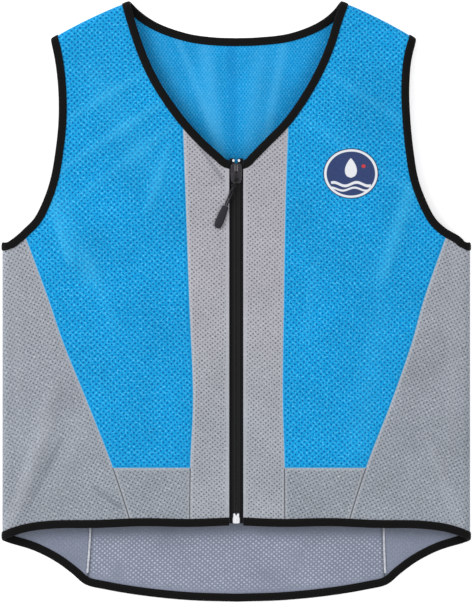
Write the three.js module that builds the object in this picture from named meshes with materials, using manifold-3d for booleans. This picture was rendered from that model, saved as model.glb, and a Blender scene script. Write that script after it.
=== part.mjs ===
// A zip-front cooling vest lying flat on its back: cloth panels, bound edges, a coil zip and a chest badge.
// Millimetres. +Z is up from the surface it lies on, +Y runs towards the neck, +X towards the wearer's left.
// "Left" and "right" are as seen from in front.
import * as THREE from "three";
import { mergeVertices } from "three/addons/utils/BufferGeometryUtils.js";
import Module from "manifold-3d";

// Driving sizes of the garment, lying flat.
const HALF_WIDTH = 280; // centre line to the outside of a side fold
const NECK_TO_TAIL = 717; // neck point to the lowest point of the back hem
const NECK_TO_HEM = 625; // neck point to the front hem at the zip
const NECK_TO_SIDE_HEM = 643; // neck point to the hem at the side folds
const NECK_HALF_WIDTH = 128;
const FRONT_NECK_DEPTH = 199;
const BACK_NECK_DEPTH = 43;
const SHOULDER_DROP = 44; // neck point to shoulder tip, straight down
const SHOULDER_BULGE = 2.4; // how far the shoulder line bows outwards
const ARMHOLE_DEPTH = 244; // shoulder tip to underarm
const BACK_ARMHOLE_INSET = 6; // the back armhole is cut this much deeper than the front one
const NECK_TO_INSERT = 557; // neck point to the cross seam under the blue panels

// Cloth and how it lies.
const CLOTH = 2; // wall of the padded mesh cloth
const FOLD_RADIUS = 7; // middle of the wall, at the side and shoulder folds
const SEAM_GAP = 0.3; // between two panels that meet at a seam
const CROWN = 12; // how far the front stands up between its folds
const CROWN_AT_ZIP = 0.55; // share of the crown left on the centre line
const CROWN_AT_HEM = 0.3; // share of the crown left at the front hem
const CROWN_RISE = 130; // length over which the crown grows from a shoulder or the hem
const FOLD_FADE = 35; // length over which soft folds die out beside an edge
const FOLD_END = 1 / 3; // share of its own length over which a soft fold dies out past each end

// Binding tape, folded over every cut edge.
const BINDING_WIDTH = 9.8;
const BINDING_TAPE = 0.7; // thickness of one layer
const BINDING_GAP = 0.4; // between tape and cloth
const EDGE_SETTLE = 36; // beside a bound edge the cloth comes down onto the surface over this length

// Zip.
const ZIP_HALF_WIDTH = 8.5; // half the width that shows between the two front edges
const ZIP_UNDERLAP = 4.5; // tape hidden under each front edge
const ZIP_ABOVE_EDGE = 3.6; // the tapes stand up this far past the end of the neckline
const ZIP_TUCK = 4; // length over which the tapes widen, below the neck binding and above the box
const TAPE = 0.8;
const COIL_WIDTH = 2.6;
const COIL_HEIGHT = 1.4;
const CLEARANCE = 0.3; // between zip pieces, and between the front and what lies on it
const SLIDER_WIDTH = 14;
const SLIDER_LENGTH = 24;
const SLIDER_PLATE = 1.8;
const SLIDER_TOP = 6; // from the top of the tapes down to the slider
const SLIDER_POST = 3.4; // width of the post between the slider's plates
const POST_SHARE = 0.35; // of the slider's length, for the length of the post
const POST_MARGIN = 1; // below the post, where the tapes begin to close
const BAIL_START = 0.46; // of the slider's length, from its top to the bail
const BAIL_LENGTH = 10;
const BAIL_HEIGHT = 3.6;
const BAIL_WIRE = 1.6;
const TAB_WIDTH = 6.4;
const TAB_LENGTH = 14;
const TAB_THICKNESS = 1.2;
const TAB_EYE = 1.7; // radius of the two eyes in the tab
const CORD_RADIUS = 0.9;
const CORD_LENGTH = 25.5; // from the lower eye to the grip
const GRIP_LENGTH = 28.5;
const GRIP_WIDTH = 10;
const GRIP_THICKNESS = 3.6;
const PULL_ANGLE = 22; // degrees that the pull lies away from the zip, to the left
const STOP_WIDTH = 2.6;
const STOP_LENGTH = 3.4;
const STOP_HEIGHT = 1.6;
const STOP_DOWN = 1; // from the top of a tape to its stop
const BOX_WIDTH = 8.2;
const BOX_LENGTH = 12;
const BOX_HEIGHT = 2.6;
const BOX_ABOVE_HEM = 1.5;

// Chest badge, and the seam edges that show inside the back.
const BADGE_WIDTH = 66;
const BADGE_HEIGHT = 60;
const BADGE_THICKNESS = 0.8;
const BADGE_OUT = 137; // from the centre line, on the right
const BADGE_DOWN = 205; // from the neck point
const SEAM_EDGE_WIDTH = 5;
const SEAM_EDGE_HEIGHT = 1;

// Edge curves. "down" runs from the top of each curve to its end, "left" and "right" out from the centre line.
// Shares of FRONT_NECK_DEPTH and NECK_HALF_WIDTH.
const FRONT_NECKLINE = [
  { down: 0, left: 1, right: 0.98 },
  { down: 0.12, left: 0.95, right: 0.917 },
  { down: 0.23, left: 0.895, right: 0.866 },
  { down: 0.35, left: 0.823, right: 0.793 },
  { down: 0.47, left: 0.731, right: 0.7 },
  { down: 0.59, left: 0.613, right: 0.588 },
  { down: 0.71, left: 0.473, right: 0.452 },
  { down: 0.83, left: 0.303, right: 0.27 },
  { down: 0.89, left: 0.201, right: 0.178 },
  { down: 0.925, left: 0.14, right: 0.124 },
  { down: 0.948, left: 0.1, right: 0.093 },
  { down: 0.956, left: 0.066, right: 0.066 },
];
// Shares of BACK_NECK_DEPTH and NECK_HALF_WIDTH.
const BACK_NECKLINE = [
  { down: 0, left: 1, right: 0.98 },
  { down: 0.23, left: 0.915, right: 0.915 },
  { down: 0.57, left: 0.745, right: 0.765 },
  { down: 0.87, left: 0.46, right: 0.5 },
  { down: 0.98, left: 0.2, right: 0.2 },
];
// Shares of ARMHOLE_DEPTH and HALF_WIDTH.
const ARMHOLE = [
  { down: 0, left: 0.787, right: 0.764 },
  { down: 0.104, left: 0.771, right: 0.745 },
  { down: 0.25, left: 0.757, right: 0.736 },
  { down: 0.4, left: 0.756, right: 0.741 },
  { down: 0.54, left: 0.768, right: 0.753 },
  { down: 0.68, left: 0.789, right: 0.773 },
  { down: 0.78, left: 0.817, right: 0.803 },
  { down: 0.88, left: 0.86, right: 0.848 },
  { down: 0.93, left: 0.902, right: 0.893 },
  { down: 0.97, left: 0.94, right: 0.952 },
  { down: 1, left: 0.98, right: 0.982 },
];
// "drop" is a share of the way from the front hem at the zip down to the hem at the side folds.
const FRONT_HEM = [
  { out: 0.03, drop: 0 },
  { out: 0.2, drop: 0.09 },
  { out: 0.4, drop: 0.04 },
  { out: 0.6, drop: 0.16 },
  { out: 0.78, drop: 0.2 },
  { out: 0.9, drop: 0.44 },
];
// "drop" is a share of the way from the hem at the side folds down to the tail.
const BACK_HEM = [
  { out: 0.96, drop: 0.06 },
  { out: 0.88, drop: 0.15 },
  { out: 0.82, drop: 0.25 },
  { out: 0.76, drop: 0.38 },
  { out: 0.7, drop: 0.55 },
  { out: 0.645, drop: 0.72 },
  { out: 0.56, drop: 0.8 },
  { out: 0.4, drop: 0.9 },
  { out: 0.2, drop: 0.975 },
];
// Seams. "down" is a share of the way from neck point to front hem, "left" and "right" are of HALF_WIDTH.
const CENTRE_SEAM = [
  { down: 0.38, left: 0.215, right: 0.21 },
  { down: 0.57, left: 0.2, right: 0.203 },
  { down: 0.76, left: 0.184, right: 0.198 },
  { down: 0.89, left: 0.196, right: 0.206 },
  { down: 1.04, left: 0.2, right: 0.207 },
];
const SIDE_SEAM = [
  { down: 0.57, left: 0.802, right: 0.802 },
  { down: 0.65, left: 0.741, right: 0.752 },
  { down: 0.765, left: 0.637, right: 0.663 },
  { down: 0.89, left: 0.528, right: 0.555 },
  { down: 1.04, left: 0.42, right: 0.45 },
];
const BACK_SEAM = [
  { down: 0.57, left: 0.79, right: 0.79 },
  { down: 0.72, left: 0.705, right: 0.705 },
  { down: 0.89, left: 0.63, right: 0.63 },
  { down: 1.01, left: 0.622, right: 0.628 },
  { down: 1.15, left: 0.645, right: 0.64 },
];
const SIDE_SEAM_TOP = 0.94; // share of the armhole's depth where the side panels begin
const CENTRE_SEAM_TOP = { left: 0.228, right: 0.223 }; // share of HALF_WIDTH, where the strips begin
// Soft folds. x runs out from the centre line as a share of HALF_WIDTH, "down" from the neck point as a
// share of NECK_TO_HEM. Width and height are in millimetres.
const FRONT_FOLDS = [
  { x: -0.94, down: 0.98, toX: -0.8, toDown: 0.76, width: 12, height: 3 },
  { x: -0.84, down: 1, toX: -0.66, toDown: 0.82, width: 14, height: 2 },
  { x: -0.78, down: 0.34, toX: -0.64, toDown: 0.52, width: 14, height: 2 },
  { x: -0.6, down: 0.14, toX: -0.34, toDown: 0.34, width: 22, height: 1.6 },
  { x: 0.62, down: 0.6, toX: 0.52, toDown: 0.84, width: 20, height: 1.6 },
  { x: 0.76, down: 0.36, toX: 0.6, toDown: 0.52, width: 15, height: 1.6 },
];
const BACK_FOLDS = [
  { x: -0.13, down: 0.1, toX: -0.05, toDown: 0.34, width: 12, height: 3 },
  { x: 0.1, down: 0.11, toX: 0.03, toDown: 0.34, width: 14, height: 2.2 },
  { x: -0.34, down: 0.07, toX: -0.22, toDown: 0.2, width: 14, height: 1.4 },
];

// Mesh fineness.
const FOLD_STEPS = 4; // per quarter turn of an edge fold
const EDGE_CELL = 13; // width of the first and last cells of a panel
const CURVE_SAMPLES = 40;
const TAPE_CELLS = 10; // along a zip tape
const COIL_CELLS = 11;
const CORD_CELLS = 26;
const CORD_SIDES = 8;

// Where along an edge curve a crossing is looked for.
const FIRST_PART = 0.4; // share that leaves a shoulder fold, or the zip
const SIDE_PART = 0.15; // share that leaves a side fold
const HEM_MARGIN = 5;

// Values that follow from the sizes.
const LEFT = -1;
const RIGHT = 1;
const FRONT = 1;
const BACK = -1;
const TOP_Y = NECK_TO_TAIL / 2;
const TIP_Y = TOP_Y - SHOULDER_DROP;
const FRONT_HEM_Y = TOP_Y - NECK_TO_HEM;
const SIDE_HEM_Y = TOP_Y - NECK_TO_SIDE_HEM;
const INSERT_Y = TOP_Y - NECK_TO_INSERT;
const FOLD_X = HALF_WIDTH - CLOTH / 2; // middle of the wall at the outside of a side fold
const QUARTER_TURN = (FOLD_RADIUS * Math.PI) / 2; // cloth in half of an edge fold
const FLAT_X = FOLD_X - FOLD_RADIUS; // where a side fold runs out flat
const MIDDLE_X = FLAT_X + QUARTER_TURN; // middle of a side fold, on the flattened cloth
const BINDING_HALF = CLOTH / 2 + BINDING_GAP + BINDING_TAPE;
const UP = new THREE.Vector3(0, 0, 1);

// Materials.
const paint = (hex, roughness, metalness = 0) =>
  new THREE.MeshStandardMaterial({ color: hex, roughness, metalness });
const BLUE_MESH = paint(0x2196dc, 0.75);
const GREY_MESH = paint(0x9ea2aa, 0.8);
const BLACK_BINDING = paint(0x17171a, 0.85);
const ZIP_TAPE = paint(0x1f2021, 0.8);
const ZIP_COIL = paint(0x26272a, 0.5);
const BLACK_METAL = paint(0x2c2c31, 0.4, 0.6);
const BRIGHT_METAL = paint(0xe8eaec, 0.3, 0.9);
const PULL_CORD = paint(0x202024, 0.8);
const SOFT_GRIP = paint(0x34343c, 0.6);
const BADGE_PRINT = paint(0x1b2236, 0.6);

const group = new THREE.Group();
function add(name, geometry, material) {
  const mesh = new THREE.Mesh(geometry, material);
  mesh.name = name;
  group.add(mesh);
}

// Small helpers.
const lerp = THREE.MathUtils.lerp;
const clamp = THREE.MathUtils.clamp;
const smooth = (t) => THREE.MathUtils.smoothstep(t, 0, 1);
const shares = (count) => Array.from({ length: count + 1 }, (_, i) => i / count);
const sideName = (side) => (side === LEFT ? "left" : "right");
const sideOf = (x) => (x < 0 ? LEFT : RIGHT);

// The value between low and high where a function that changes sign there is zero.
function solve(f, low, high) {
  const rising = f(high) > f(low);
  for (let i = 0; i < 36; i++) {
    const middle = (low + high) / 2;
    if (f(middle) > 0 === rising) high = middle;
    else low = middle;
  }
  return (low + high) / 2;
}

// Shares from 0 to 1 of a length, in cells of one size apart from a narrow first and last one.
function cells(count, length) {
  const edge = Math.min(EDGE_CELL / length, 1 / count);
  return [0, ...shares(count - 2).map((share) => lerp(edge, 1 - edge, share)), 1];
}

// Shoulder line of one side, straight apart from its bow.
const neckX = (side) => side * NECK_HALF_WIDTH * FRONT_NECKLINE[0][sideName(side)];
const tipX = (side) => side * HALF_WIDTH * ARMHOLE[0][sideName(side)];
const shoulderSlope = (side) => Math.atan2(SHOULDER_DROP, Math.abs(tipX(side) - neckX(side)));
const shoulderOutwards = (side) =>
  new THREE.Vector3(side * Math.sin(shoulderSlope(side)), Math.cos(shoulderSlope(side)), 0);
function shoulderY(side, x) {
  const along = (x - neckX(side)) / (tipX(side) - neckX(side));
  const bow = clamp(along, 0, 1);
  return TOP_Y - SHOULDER_DROP * along + SHOULDER_BULGE * 4 * bow * (1 - bow);
}
const inFromShoulder = (x, y) => (shoulderY(sideOf(x), x) - y) * Math.cos(shoulderSlope(sideOf(x)));

// Nearest edge fold in plan: how far inside its outline a point lies, and which way is out.
function nearestFold(x, y) {
  const fromSide = FOLD_X - Math.abs(x);
  const fromShoulder = inFromShoulder(x, y);
  return fromSide < fromShoulder
    ? { inside: fromSide, outwards: new THREE.Vector3(sideOf(x), 0, 0) }
    : { inside: fromShoulder, outwards: shoulderOutwards(sideOf(x)) };
}

// Place on the flattened cloth of a point given in plan: in an edge fold the cloth is longer than it looks.
function flatten([x, y]) {
  const { inside, outwards } = nearestFold(x, y);
  const angle = Math.asin(clamp(1 - inside / FOLD_RADIUS, 0, 1));
  return new THREE.Vector3(x, y, 0).addScaledVector(outwards, FOLD_RADIUS * (angle - Math.sin(angle)));
}
const TAKE_UP = QUARTER_TURN - FOLD_RADIUS; // extra cloth up to the middle of a fold
const toShoulderMiddle = (p) => inFromShoulder(p.x, p.y) + TAKE_UP;
const toSideMiddle = (p) => MIDDLE_X - Math.abs(p.x);

// Edge curves and seams on the flattened cloth, from top to end, and where they cross a line.
const curveThrough = (points) => new THREE.CatmullRomCurve3(points.map(flatten), false, "centripetal");
const crossing = (curve, measure, low = 0, high = 1) =>
  solve((u) => measure(curve.getPointAt(u)), low, high);
const atY = (curve, y) => crossing(curve, (p) => p.y - y);
const xAtY = (curve, y) => curve.getPointAt(atY(curve, y)).x;
const yAtX = (curve, x) => curve.getPointAt(crossing(curve, (p) => p.x - x)).y;

function sideCurves(side) {
  const name = sideName(side);
  const rows = (table, topY, depth, width) =>
    table.map((row) => [side * width * row[name], topY - depth * row.down]);
  const underarm = [side * FOLD_X, TIP_Y - ARMHOLE_DEPTH];
  const sideTopY = TIP_Y - ARMHOLE_DEPTH * SIDE_SEAM_TOP;
  const armRows = rows(ARMHOLE, TIP_Y, ARMHOLE_DEPTH, HALF_WIDTH);
  const deeper = (row) => BACK_ARMHOLE_INSET * Math.sin(Math.PI * row.down) ** 2;
  const neck = curveThrough(rows(FRONT_NECKLINE, TOP_Y, FRONT_NECK_DEPTH, NECK_HALF_WIDTH));
  const arm = curveThrough([...armRows, underarm]);
  const backArmRows = armRows.map(([x, y], i) => [x - side * deeper(ARMHOLE[i]), y]);
  const backArm = curveThrough([...backArmRows, underarm]);
  const hemRow = (row, from, to) => [side * HALF_WIDTH * row.out, lerp(from, to, row.drop)];
  const seam = (top, table) => curveThrough([top, ...rows(table, TOP_Y, NECK_TO_HEM, HALF_WIDTH)]);
  const centreX = side * HALF_WIDTH * CENTRE_SEAM_TOP[name];
  return {
    neck,
    arm,
    backArm,
    backNeck: curveThrough([
      ...rows(BACK_NECKLINE, TOP_Y, BACK_NECK_DEPTH, NECK_HALF_WIDTH),
      [0, TOP_Y - BACK_NECK_DEPTH],
    ]),
    hem: curveThrough([
      ...FRONT_HEM.map((row) => hemRow(row, FRONT_HEM_Y, SIDE_HEM_Y)),
      [side * FOLD_X, SIDE_HEM_Y],
    ]),
    backHem: curveThrough([
      [side * FOLD_X, SIDE_HEM_Y],
      ...BACK_HEM.map((row) => hemRow(row, SIDE_HEM_Y, -TOP_Y)),
      [0, -TOP_Y],
    ]),
    centreSeam: seam([centreX, yAtX(neck, centreX)], CENTRE_SEAM),
    sideSeam: seam([xAtY(arm, sideTopY), sideTopY], SIDE_SEAM),
    backSeam: seam([xAtY(backArm, sideTopY), sideTopY], BACK_SEAM),
  };
}
const curves = { [LEFT]: sideCurves(LEFT), [RIGHT]: sideCurves(RIGHT) };

// Distance to the nearest bound edge, front or back.
const boundPoints = Object.values(curves).flatMap(({ neck, arm, backArm, backNeck, hem, backHem }) =>
  [neck, arm, backArm, backNeck, hem, backHem].flatMap((curve) => curve.getSpacedPoints(CURVE_SAMPLES)),
);
const toBoundEdge = (x, y) => Math.min(...boundPoints.map((p) => Math.hypot(p.x - x, p.y - y)));

// Sum of soft folds: each is a rounded ridge along a line that fades towards both ends and beside an edge.
function softFolds(table, x, y, toEdge) {
  const { inside } = nearestFold(x, y);
  const fade = smooth(Math.min(inside - FOLD_RADIUS, toEdge - BINDING_WIDTH) / FOLD_FADE);
  const ridges = table.map((fold) => {
    const startX = fold.x * HALF_WIDTH;
    const startY = TOP_Y - fold.down * NECK_TO_HEM;
    const runX = fold.toX * HALF_WIDTH - startX;
    const runY = (fold.down - fold.toDown) * NECK_TO_HEM;
    const length = Math.hypot(runX, runY);
    const along = ((x - startX) * runX + (y - startY) * runY) / length ** 2;
    const away = ((x - startX) * runY - (y - startY) * runX) / length;
    const ends = smooth(along / FOLD_END + 1) * smooth((1 - along) / FOLD_END + 1);
    return fold.height * ends * Math.exp(-((away / fold.width) ** 2));
  });
  return fade * ridges.reduce((sum, ridge) => sum + ridge, 0);
}

// How far a layer stands off the plane that its edge folds give it.
function relief(x, y, layer) {
  const toEdge = toBoundEdge(x, y);
  const lift = (BINDING_HALF - CLOTH / 2) * (1 - smooth((toEdge - BINDING_WIDTH) / EDGE_SETTLE));
  if (layer === BACK) return lift + softFolds(BACK_FOLDS, x, y, toEdge);
  const beside = 1 - smooth((nearestFold(x, y).inside - FOLD_RADIUS) / EDGE_SETTLE);
  const across = Math.min(1, Math.abs(x) / FLAT_X);
  const lateral = (1 - across ** 2) ** 2 * (CROWN_AT_ZIP + 2 * across ** 2);
  const shoulder = smooth(inFromShoulder(x, y) / CROWN_RISE);
  const hem = lerp(CROWN_AT_HEM, 1, smooth((y - FRONT_HEM_Y) / CROWN_RISE));
  return lift * beside + CROWN * lateral * shoulder * hem + softFolds(FRONT_FOLDS, x, y, toEdge);
}

// How far a place on the flattened cloth is past the flat part of its layer, into an edge fold.
function foldAt({ x, y }) {
  const fromSide = MIDDLE_X - Math.abs(x);
  const fromShoulder = toShoulderMiddle({ x, y });
  const sideways = new THREE.Vector3(sideOf(x), 0, 0);
  const outwards = fromSide < fromShoulder ? sideways : shoulderOutwards(sideOf(x));
  return { outwards, past: Math.max(0, QUARTER_TURN - Math.min(fromSide, fromShoulder)) };
}
// The place as it lies: the middle of the wall and the way out of the garment. Past the middle of an edge
// fold the cloth runs on into the other layer.
function onCloth({ x, y, layer }) {
  const { outwards, past } = foldAt({ x, y });
  const angle = Math.min(past / FOLD_RADIUS, Math.PI);
  const back = Math.max(0, past - FOLD_RADIUS * Math.PI);
  const shift = FOLD_RADIUS * Math.sin(angle) - past - back;
  const plan = new THREE.Vector3(x, y, 0).addScaledVector(outwards, shift);
  const there = angle > Math.PI / 2 ? -layer : layer;
  const step = 0.5;
  const slopeX = (relief(plan.x + step, plan.y, there) - relief(plan.x - step, plan.y, there)) / (2 * step);
  const slopeY = (relief(plan.x, plan.y + step, there) - relief(plan.x, plan.y - step, there)) / (2 * step);
  const facing = layer * Math.cos(angle);
  const normal = outwards.clone().multiplyScalar(Math.sin(angle));
  normal.add(new THREE.Vector3(-slopeX, -slopeY, 1).multiplyScalar(facing));
  const height = CLOTH / 2 + FOLD_RADIUS * (1 + facing) + relief(plan.x, plan.y, there);
  return { point: new THREE.Vector3(plan.x, plan.y, height), normal: normal.normalize() };
}

// Geometry of a closed solid from points and triangles.
function solid(points, triangles) {
  const geometry = new THREE.BufferGeometry().setFromPoints(points);
  geometry.setIndex(triangles.flat());
  geometry.computeVertexNormals();
  return geometry;
}

// A wall over one or more grids of places that meet at common edges, between two offsets from its middle.
function wall(grids, outer = CLOTH / 2, inner = -CLOTH / 2) {
  const known = new Map();
  const spots = [];
  const indexOf = (place) => {
    const spot = onCloth(place);
    const key = spot.point.toArray().map((value) => Math.round(value * 1e4)).join();
    if (!known.has(key)) {
      known.set(key, spots.length);
      spots.push(spot);
    }
    return known.get(key);
  };
  const faces = [];
  const lean = ([a, b, c]) => {
    const across = spots[b].point.clone().sub(spots[a].point);
    return across.cross(spots[c].point.clone().sub(spots[a].point)).dot(spots[a].normal);
  };
  // Of the two ways to halve a cell, the one without a sliver, with its faces turned out of the garment.
  const addCell = (a, b, c, d) => {
    const halves = [[[a, b, c], [a, c, d]], [[a, b, d], [b, c, d]]];
    const turn = Math.sign(lean(halves[0][0]) + lean(halves[0][1]));
    const least = halves.map((pair) => Math.min(...pair.map((face) => turn * lean(face))));
    const [first, second] = halves[least[1] > least[0] ? 1 : 0];
    for (const [p, q, r] of [first, second]) faces.push(turn > 0 ? [p, q, r] : [p, r, q]);
  };
  for (const grid of grids) {
    const indices = grid.map((row) => row.map(indexOf));
    for (let i = 0; i + 1 < indices.length; i++) {
      for (let j = 0; j + 1 < indices[i].length; j++) {
        addCell(indices[i][j], indices[i][j + 1], indices[i + 1][j + 1], indices[i + 1][j]);
      }
    }
  }
  const count = spots.length;
  const points = [outer, inner].flatMap((offset) =>
    spots.map(({ point, normal }) => point.clone().addScaledVector(normal, offset)),
  );
  const edges = faces.flatMap(([a, b, c]) => [[a, b], [b, c], [c, a]]);
  const drawn = new Set(edges.map(([a, b]) => `${a},${b}`));
  const rim = edges.filter(([a, b]) => !drawn.has(`${b},${a}`));
  return solid(points, [
    ...faces,
    ...faces.map(([a, b, c]) => [a + count, c + count, b + count]),
    ...rim.flatMap(([a, b]) => [[b, a, a + count], [b, a + count, b + count]]),
  ]);
}

// Shares of the way along a list of places.
function travel(list) {
  const sums = [0];
  for (let i = 1; i < list.length; i++) {
    sums.push(sums[i - 1] + Math.hypot(list[i].x - list[i - 1].x, list[i].y - list[i - 1].y));
  }
  return sums.map((sum) => sum / sums.at(-1));
}

// Grid of places between four edges: "top" and "bottom" run across, "left" and "right" run down.
function patch(top, bottom, left, right) {
  const [uTop, uBottom, vLeft, vRight] = [top, bottom, left, right].map(travel);
  return left.map((_, i) => {
    const v = (vLeft[i] + vRight[i]) / 2;
    return top.map((_, j) => {
      const u = (uTop[j] + uBottom[j]) / 2;
      const blend = (axis) => {
        const corners = lerp(
          lerp(top[0][axis], top.at(-1)[axis], u),
          lerp(bottom[0][axis], bottom.at(-1)[axis], u),
          v,
        );
        return lerp(left[i][axis], right[i][axis], u) + lerp(top[j][axis], bottom[j][axis], v) - corners;
      };
      return { x: blend("x"), y: blend("y"), layer: top[j].layer };
    });
  });
}

// Places along a curve between two arc-length shares, and along a straight line between two places.
const placesAlong = (curve, from, to, list, layer) =>
  list.map((share) => {
    const { x, y } = curve.getPointAt(lerp(from, to, share));
    return { x, y, layer };
  });
const runLength = (curve, from, to) => curve.getLength() * Math.abs(to - from);
const cellsAlong = (curve, from, to, count, layer) =>
  placesAlong(curve, from, to, cells(count, runLength(curve, from, to)), layer);
const line = (from, to, list) =>
  list.map((share) => ({ x: lerp(from.x, to.x, share), y: lerp(from.y, to.y, share), layer: from.layer }));
const lineCells = (from, to, count) =>
  line(from, to, cells(count, Math.hypot(to.x - from.x, to.y - from.y)));
const shifted = (list, shift) => list.map((place) => ({ ...place, x: place.x + shift }));

// Arc-length shares of a curve in equal steps of turn, from the middle of an edge fold to where it is flat.
const foldTurn = (curve, toMiddle, low, high) =>
  shares(FOLD_STEPS).map((turn) => crossing(curve, (p) => toMiddle(p) - turn * QUARTER_TURN, low, high));
const atShares = (curve, list, layer) => list.map((u) => placesAlong(curve, u, u, [0], layer)[0]);

// Cells of the panels along their edges, shared with the bindings on them.
const ROWS = { yokeNeck: 5, blueNeck: 6, blueSeam: 9, arm: 8, blueSide: 7, insert: 4, backSide: 6, tail: 5 };
const COLUMNS = { centre: 6, insert: 4, blue: 7, sideFront: 8, sideBack: 4, tailHalf: 7 };
const YOKE_COLUMNS = [0, 0.05, 0.1, 0.17, 0.28, 0.46, 0.7, 0.93, 1]; // shares from neckline to armhole
const YOKE_ARM_CELLS = 5; // cells of the armhole beside the yoke

function sideEdges(side) {
  const c = curves[side];
  const cornerOf = (edge, seam) => atY(edge, seam.getPointAt(0).y);
  const shoulder = (curve) => foldTurn(curve, toShoulderMiddle, 0, FIRST_PART);
  const sideEnd = (curve) => foldTurn(curve, toSideMiddle, 1, 1 - SIDE_PART).reverse();
  const neckTurn = shoulder(c.neck);
  const armTurn = shoulder(c.arm);
  const backArmTurn = shoulder(c.backArm);
  const backNeckTurn = shoulder(c.backNeck);
  const armFold = sideEnd(c.arm);
  const backArmFold = sideEnd(c.backArm);
  const hemFold = sideEnd(c.hem);
  const backHemFold = foldTurn(c.backHem, toSideMiddle, 0, SIDE_PART);
  const neckCorner = cornerOf(c.neck, c.centreSeam);
  const armCorner = cornerOf(c.arm, c.sideSeam);
  const backArmCorner = cornerOf(c.backArm, c.backSeam);
  const crossHem = (hem, seam, lowest) => {
    const y = solve((v) => v - yAtX(hem, xAtY(seam, v)), lowest, FRONT_HEM_Y + HEM_MARGIN);
    return { onHem: crossing(hem, (p) => p.x - xAtY(seam, y)), onSeam: atY(seam, y) };
  };
  const centre = crossHem(c.hem, c.centreSeam, SIDE_HEM_Y - HEM_MARGIN);
  const sideways = crossHem(c.hem, c.sideSeam, SIDE_HEM_Y - HEM_MARGIN);
  const back = crossHem(c.backHem, c.backSeam, HEM_MARGIN - TOP_Y);
  const zipStart = crossing(c.hem, (p) => Math.abs(p.x) - ZIP_HALF_WIDTH, 0, FIRST_PART);
  const seamRows = (seam, upper, end, lower, layer) => {
    const insert = atY(seam, INSERT_Y);
    return [cellsAlong(seam, 0, insert, upper, layer), cellsAlong(seam, insert, end, lower, layer)];
  };
  return {
    neckTurn: atShares(c.neck, neckTurn, FRONT),
    neckBlue: cellsAlong(c.neck, neckTurn.at(-1), neckCorner, ROWS.blueNeck, FRONT),
    neckCentre: placesAlong(c.neck, neckCorner, 1, shares(COLUMNS.centre), FRONT),
    backNeckTurn: atShares(c.backNeck, backNeckTurn, BACK),
    backNeck: cellsAlong(c.backNeck, backNeckTurn.at(-1), 1, ROWS.yokeNeck, BACK),
    armTurn: atShares(c.arm, armTurn, FRONT),
    armBlue: cellsAlong(c.arm, armTurn.at(-1), armCorner, ROWS.arm, FRONT),
    armSide: cellsAlong(c.arm, armCorner, armFold[0], COLUMNS.sideFront, FRONT),
    armFold: atShares(c.arm, armFold, FRONT),
    backArmTurn: atShares(c.backArm, backArmTurn, BACK),
    backArm: cellsAlong(c.backArm, backArmTurn.at(-1), backArmCorner, ROWS.arm, BACK),
    backArmSide: cellsAlong(c.backArm, backArmCorner, backArmFold[0], COLUMNS.sideBack, BACK),
    backArmFold: atShares(c.backArm, backArmFold, BACK),
    hemCentre: placesAlong(c.hem, zipStart, centre.onHem, shares(COLUMNS.centre), FRONT),
    hemInsert: cellsAlong(c.hem, centre.onHem, sideways.onHem, COLUMNS.insert, FRONT),
    hemSide: cellsAlong(c.hem, sideways.onHem, hemFold[0], COLUMNS.sideFront, FRONT),
    hemFold: atShares(c.hem, hemFold, FRONT),
    backHemFold: atShares(c.backHem, backHemFold, BACK),
    backHemSide: cellsAlong(c.backHem, backHemFold.at(-1), back.onHem, COLUMNS.sideBack, BACK),
    backHemTail: cellsAlong(c.backHem, back.onHem, 1, COLUMNS.tailHalf, BACK),
    centreSeam: seamRows(c.centreSeam, ROWS.blueSeam, centre.onSeam, ROWS.insert, FRONT),
    sideSeam: seamRows(c.sideSeam, ROWS.blueSide, sideways.onSeam, ROWS.insert, FRONT),
    backSeam: seamRows(c.backSeam, ROWS.backSide, back.onSeam, ROWS.tail, BACK),
  };
}
const edges = { [LEFT]: sideEdges(LEFT), [RIGHT]: sideEdges(RIGHT) };

// One run of places from several that follow each other.
const joined = (...lists) => lists.flatMap((list, i) => (i === 0 ? list : list.slice(1)));
const reversed = (list) => [...list].reverse();

// The same list with its first or last place moved.
const moved = (list, index, { x = 0, y = 0 }) =>
  list.map((place, i) => (i === index ? { ...place, x: place.x + x, y: place.y + y } : place));

// The start of an edge at a shoulder seam: half a gap from the middle of the fold.
const seamStart = (curve, layer) => {
  const u = crossing(curve, (p) => toShoulderMiddle(p) - SEAM_GAP / 2, 0, FIRST_PART);
  return placesAlong(curve, u, u, [0], layer)[0];
};
const shoulderRow = (side, from, to, list) =>
  line(from, to, list).map((place, i) => {
    if (i === 0 || i === list.length - 1) return place;
    const above = (TAKE_UP - SEAM_GAP / 2) / Math.cos(shoulderSlope(side));
    return { ...place, y: shoulderY(side, place.x) + above };
  });

// Blue front panel, from the shoulder fold to the cross seam.
function bluePanel(side) {
  const c = curves[side];
  const e = edges[side];
  const gap = (side * SEAM_GAP) / 2;
  const last = ROWS.blueSeam;
  const seam = moved(shifted(e.centreSeam[0], gap), last, { y: SEAM_GAP / 2 });
  const sideSeam = moved(shifted(e.sideSeam[0], -gap), ROWS.blueSide, { y: SEAM_GAP / 2 });
  const inner = [seamStart(c.neck, FRONT), ...joined(e.neckTurn.slice(1), e.neckBlue.slice(0, -1)), ...seam];
  const outer = [seamStart(c.arm, FRONT), ...joined(e.armTurn.slice(1), e.armBlue.slice(0, -1)), ...sideSeam];
  const across = cells(COLUMNS.blue, Math.abs(outer[0].x - inner[0].x));
  const top = shoulderRow(side, inner[0], outer[0], across);
  return wall([patch(top, lineCells(inner.at(-1), outer.at(-1), COLUMNS.blue), inner, outer)]);
}

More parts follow.
